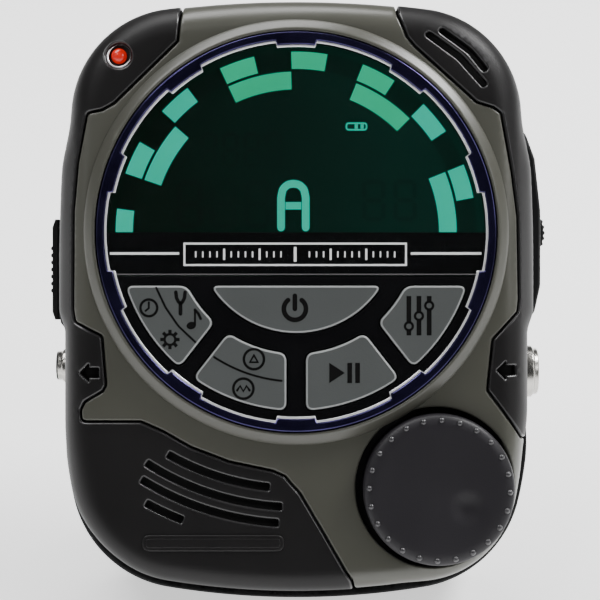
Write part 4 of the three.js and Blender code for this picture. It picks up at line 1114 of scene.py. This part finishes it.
# ---- sides
def drilled(piece, lo, hi):
    """Cuts a box out of a piece, both in device millimetres."""
    v = [(x, y, z) for x in (lo[0], hi[0]) for y in (lo[1], hi[1]) for z in (lo[2], hi[2])]
    f = [(0, 1, 3, 2), (4, 6, 7, 5), (0, 4, 5, 1), (2, 3, 7, 6), (0, 2, 6, 4), (1, 5, 7, 3)]
    mesh = bpy.data.meshes.new("cutter")
    mesh.from_pydata([tuple(np.array(p) * MM) for p in v], [], f)
    cutter = bpy.data.objects.new("cutter", mesh)
    scene.collection.objects.link(cutter)
    cutter.matrix_world = DEVICE
    bpy.context.view_layer.update()
    cut = piece.modifiers.new("cut", "BOOLEAN")
    cut.operation, cut.solver, cut.object = "DIFFERENCE", "EXACT", cutter
    bpy.context.view_layer.update()
    made = bpy.data.meshes.new_from_object(piece.evaluated_get(bpy.context.evaluated_depsgraph_get()))
    piece.modifiers.clear()
    old = piece.data
    piece.data = made
    bpy.data.meshes.remove(old)
    bpy.data.objects.remove(cutter)


thumb_loop = fillet([(44, -6), (49.0, -5), (50.8, -2.5), (52, 3), (52, 19), (50.8, 30), (48.6, 36),
                     (44, 36.8)], 2.5)
thumb = panel("volume_housing", [dense(thumb_loop, 1.0)], Plane(-0.55), BLACK, round=0.5, depth=10.2,
              under=1.6, spacing=3)
drilled(thumb, (46, 7.4, -6.9), (56, 21.2, -2.1))
port_loop = fillet([(-44, 20.5), (-48.4, 20.5), (-50.3, 17.6), (-50.3, -4.8), (-48.4, -7.4), (-44, -7.4)],
                   1.2)
port = panel("charging_port_housing", [dense(port_loop, 1.0)], Plane(-0.65), BLACK, round=0.35, depth=8.3,
             under=0.5, spacing=3)
PORT_Y = 6.4
drilled(port, (-56, PORT_Y - 4.55, -6.1), (-48.9, PORT_Y + 4.55, -2.3))
ribs = []
for k in range(-3, 4):
    y = PORT_Y - 1.5 * k
    ribs += [(-52.0, y + 0.45), (-52.3, y + 0.25), (-52.3, y - 0.25), (-52.0, y - 0.45)]
cover_loop = [(-50.6, -4.3), (-50.6, 17.1), (-51.4, 17.1), (-52.0, 15.4), *ribs, (-52.0, -2.6), (-51.4, -4.3)]
cover_loop = dense(fillet(cover_loop, 0.12), 0.8)[::-1]
cover = panel("port_cover_skin", [cover_loop], Plane(-0.8), GRIP, round=0.3, depth=8.2, under=0.3,
              spacing=None, body="port_cover_flap")
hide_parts("port_cover")
thumb_profile = [(1.9, -7.0), (2.0, -6.2), (6.8, -6.2), (7.25, -6.0), (7.4, -5.7), (7.4, -3.3), (7.25, -3.0),
                 (6.8, -2.8), (1.9, -2.8)]
knurl = lambda r, t: r + np.where(r > 7, 0.17 * (np.cos(36 * t) - 1), 0)
vwheel = turned("volume_wheel_knurled", thumb_profile, (45.9, 14.3, 0), BLACK, 216, shape=knurl,
                body="volume_wheel_unit")
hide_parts("volume_wheel")


def ferrule(name, side, y, z, nut, collar, bore, node, back=0.0):
    """A socket's ring nut and collar on one side of the case; back moves it in."""
    prof = [(bore, 44), (collar, 44), (collar, 47.2), (nut - 0.25, 47.2), (nut, 47.5), (nut, 50.0),
            (nut - 0.3, 50.35), (collar + 0.15, 50.4), (collar, 50.55), (collar, 51.15),
            (collar - 0.2, 51.35), (bore + 0.35, 51.35), (bore, 51.0)]
    piece = turned(name, [(r, side * (x - back)) for r, x in prof], (0, y, z), STEEL, 96, axis="x")
    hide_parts(node)
    return piece


ferrule("input_jack_ferrule", 1, -15.3, -2.5, 5.5, 4.9, 3.2, "input_jack_nut")
ferrule("output_jack_ferrule", -1, -14.1, -2.2, 3.6, 3.1, 1.95, "output_jack_nut", back=0.6)

# ---- rear housing
POSTS = [(-36, 47), (36, 47), (-42.5, -1.8), (42.5, -1.8), (-39, -42), (39, -42)]
notch = arc(19.6, -44, 6, -math.pi / 2, math.pi / 2, 1.0)
pocket_loop = np.vstack([[(-19.6, -0.8), (-19.6, -57.2), (19.6, -57.2)], notch, [(19.6, -0.8)]])
pocket_loop = dense(fillet(pocket_loop, 1.4), 1.2)
label_loop = dense(fillet([(-26, 13), (26, 13), (26, 39), (-26, 39)], 3), 1.5)
rear_rim = trimmed(rim_line(REAR, below=True), 0.1)
post_holes = [circle(x, y, 2.6, 32) for x, y in POSTS]
rear_skin = panel("rear_housing_skin", [rear_rim, pocket_loop, label_loop, *post_holes], REAR, BLACK,
                  round=0.4, depth=1.9, spacing=1.6)
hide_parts("rear_shell")
panel("blank_label_recess", [shrink(label_loop, -0.2)], Plane(-14.6, -1), BLACK, round=0.02, depth=1.0,
      spacing=4)
panel("blank_label", [shrink(label_loop, 1.2)], Plane(-14.75, -1), GREY_INK, round=0.06, depth=0.3, spacing=4)
pocket_wall = [trimmed(pocket_loop, -1.4), pocket_loop]
panel("stand_pocket_wall", pocket_wall, Plane(-13.3, -1), BLACK, round=0.02, depth=4.2, spacing=None)
floor_loop = dense([(-20.6, -58.2), (27, -58.2), (27, -7.0), (-20.6, -7.0)], 2)
panel("stand_pocket_floor", [floor_loop], Plane(-11.8, -1), BLACK, round=0.05, depth=1.2, spacing=4)
hinge_loop = dense([(-20.6, -8.4), (20.6, -8.4), (20.6, 0.4), (-20.6, 0.4)], 2)
panel("stand_hinge_floor", [hinge_loop], Plane(-9.3, -1), BLACK, round=0.05, depth=1.0, spacing=4)
TRIPOD_AT = (0, -30, 0)
boss = [(5.0, -14.5), (5.3, -14.75), (6.5, -14.75), (6.9, -14.4), (7.0, -11.5), (5.0, -11.5)]
turned("tripod_boss", boss, TRIPOD_AT, BLACK, 64)
thread = []
for k in range(9):
    z = -14.3 + 0.75 * k
    thread += [(2.9, z), (3.25, z + 0.37)]
thread = [(4.95, -14.9), (3.4, -14.9), (3.1, -14.6), *thread, (2.9, -7.6), (0.02, -7.6), (0.02, -7.0),
          (4.95, -7.0)]
insert = turned("tripod_thread", thread, TRIPOD_AT, BRASS, 64)
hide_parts("tripod_insert")
CROSS = [(0.3, 0.3), (1.25, 0.3), (1.25, -0.3), (0.3, -0.3), (0.3, -1.25), (-0.3, -1.25), (-0.3, -0.3),
         (-1.25, -0.3), (-1.25, 0.3), (-0.3, 0.3), (-0.3, 1.25), (0.3, 1.25)]
for i, (x, y) in enumerate(POSTS, 1):
    cross = dense(np.array(CROSS) + (x, y), 0.3)
    head = panel(f"case_screw_head_{i}", [circle(x, y, 2.2, 40), cross], Plane(-13.5, -1), STEEL, round=0.28,
                 depth=1.5, spacing=None)
    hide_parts(f"case_screw_{i}")
    decal(f"case_screw_well_{i}", [[circle(x, y, 3.0, 32)]], -12.0, DARK, thick=0.3)

# ---- tilt stand
leg_loop = dense(fillet([(-19, -53.5), (19, -53.5), (19, -3), (-19, -3)], 1.2), 1.5)
leg_window = dense(fillet([(-9, -39), (9, -39), (9, -21), (-9, -21)], 2.0), 1.2)
ON_LEG = {"body": "stand_leg", "matrix": STAND}
leg = panel("tilt_leg", [leg_loop, leg_window], Plane(-14.6, -1), BLACK, round=0.45, depth=2.4, under=0.45,
            spacing=2.5, **ON_LEG)
barrel = [(1.3, -19), (2.1, -19), (2.4, -18.7), (2.4, 18.7), (2.1, 19), (1.3, 19)]
turned("tilt_leg_barrel", barrel, HINGE, BLACK, 40, axis="x", **ON_LEG)
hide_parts("tilt_stand")
for k, y in enumerate((-43.5, -45.5, -47.5, -49.5)):
    rib = dense(fillet([(-9, y - 0.35), (9, y - 0.35), (9, y + 0.35), (-9, y + 0.35)], 0.3), 1)
    panel(f"tilt_leg_grip_{k}", [rib], Plane(-14.62, -1), BLACK, round=0.12, depth=0.1, spacing=None,
          **ON_LEG)
for node_name in ("base_pad", "stand_pad", "hinge_pin"):
    edge = frame["nodes"][node_name].modifiers.new("edges", "BEVEL")
    edge.width, edge.segments, edge.limit_method = 0.0003, 2, "ANGLE"
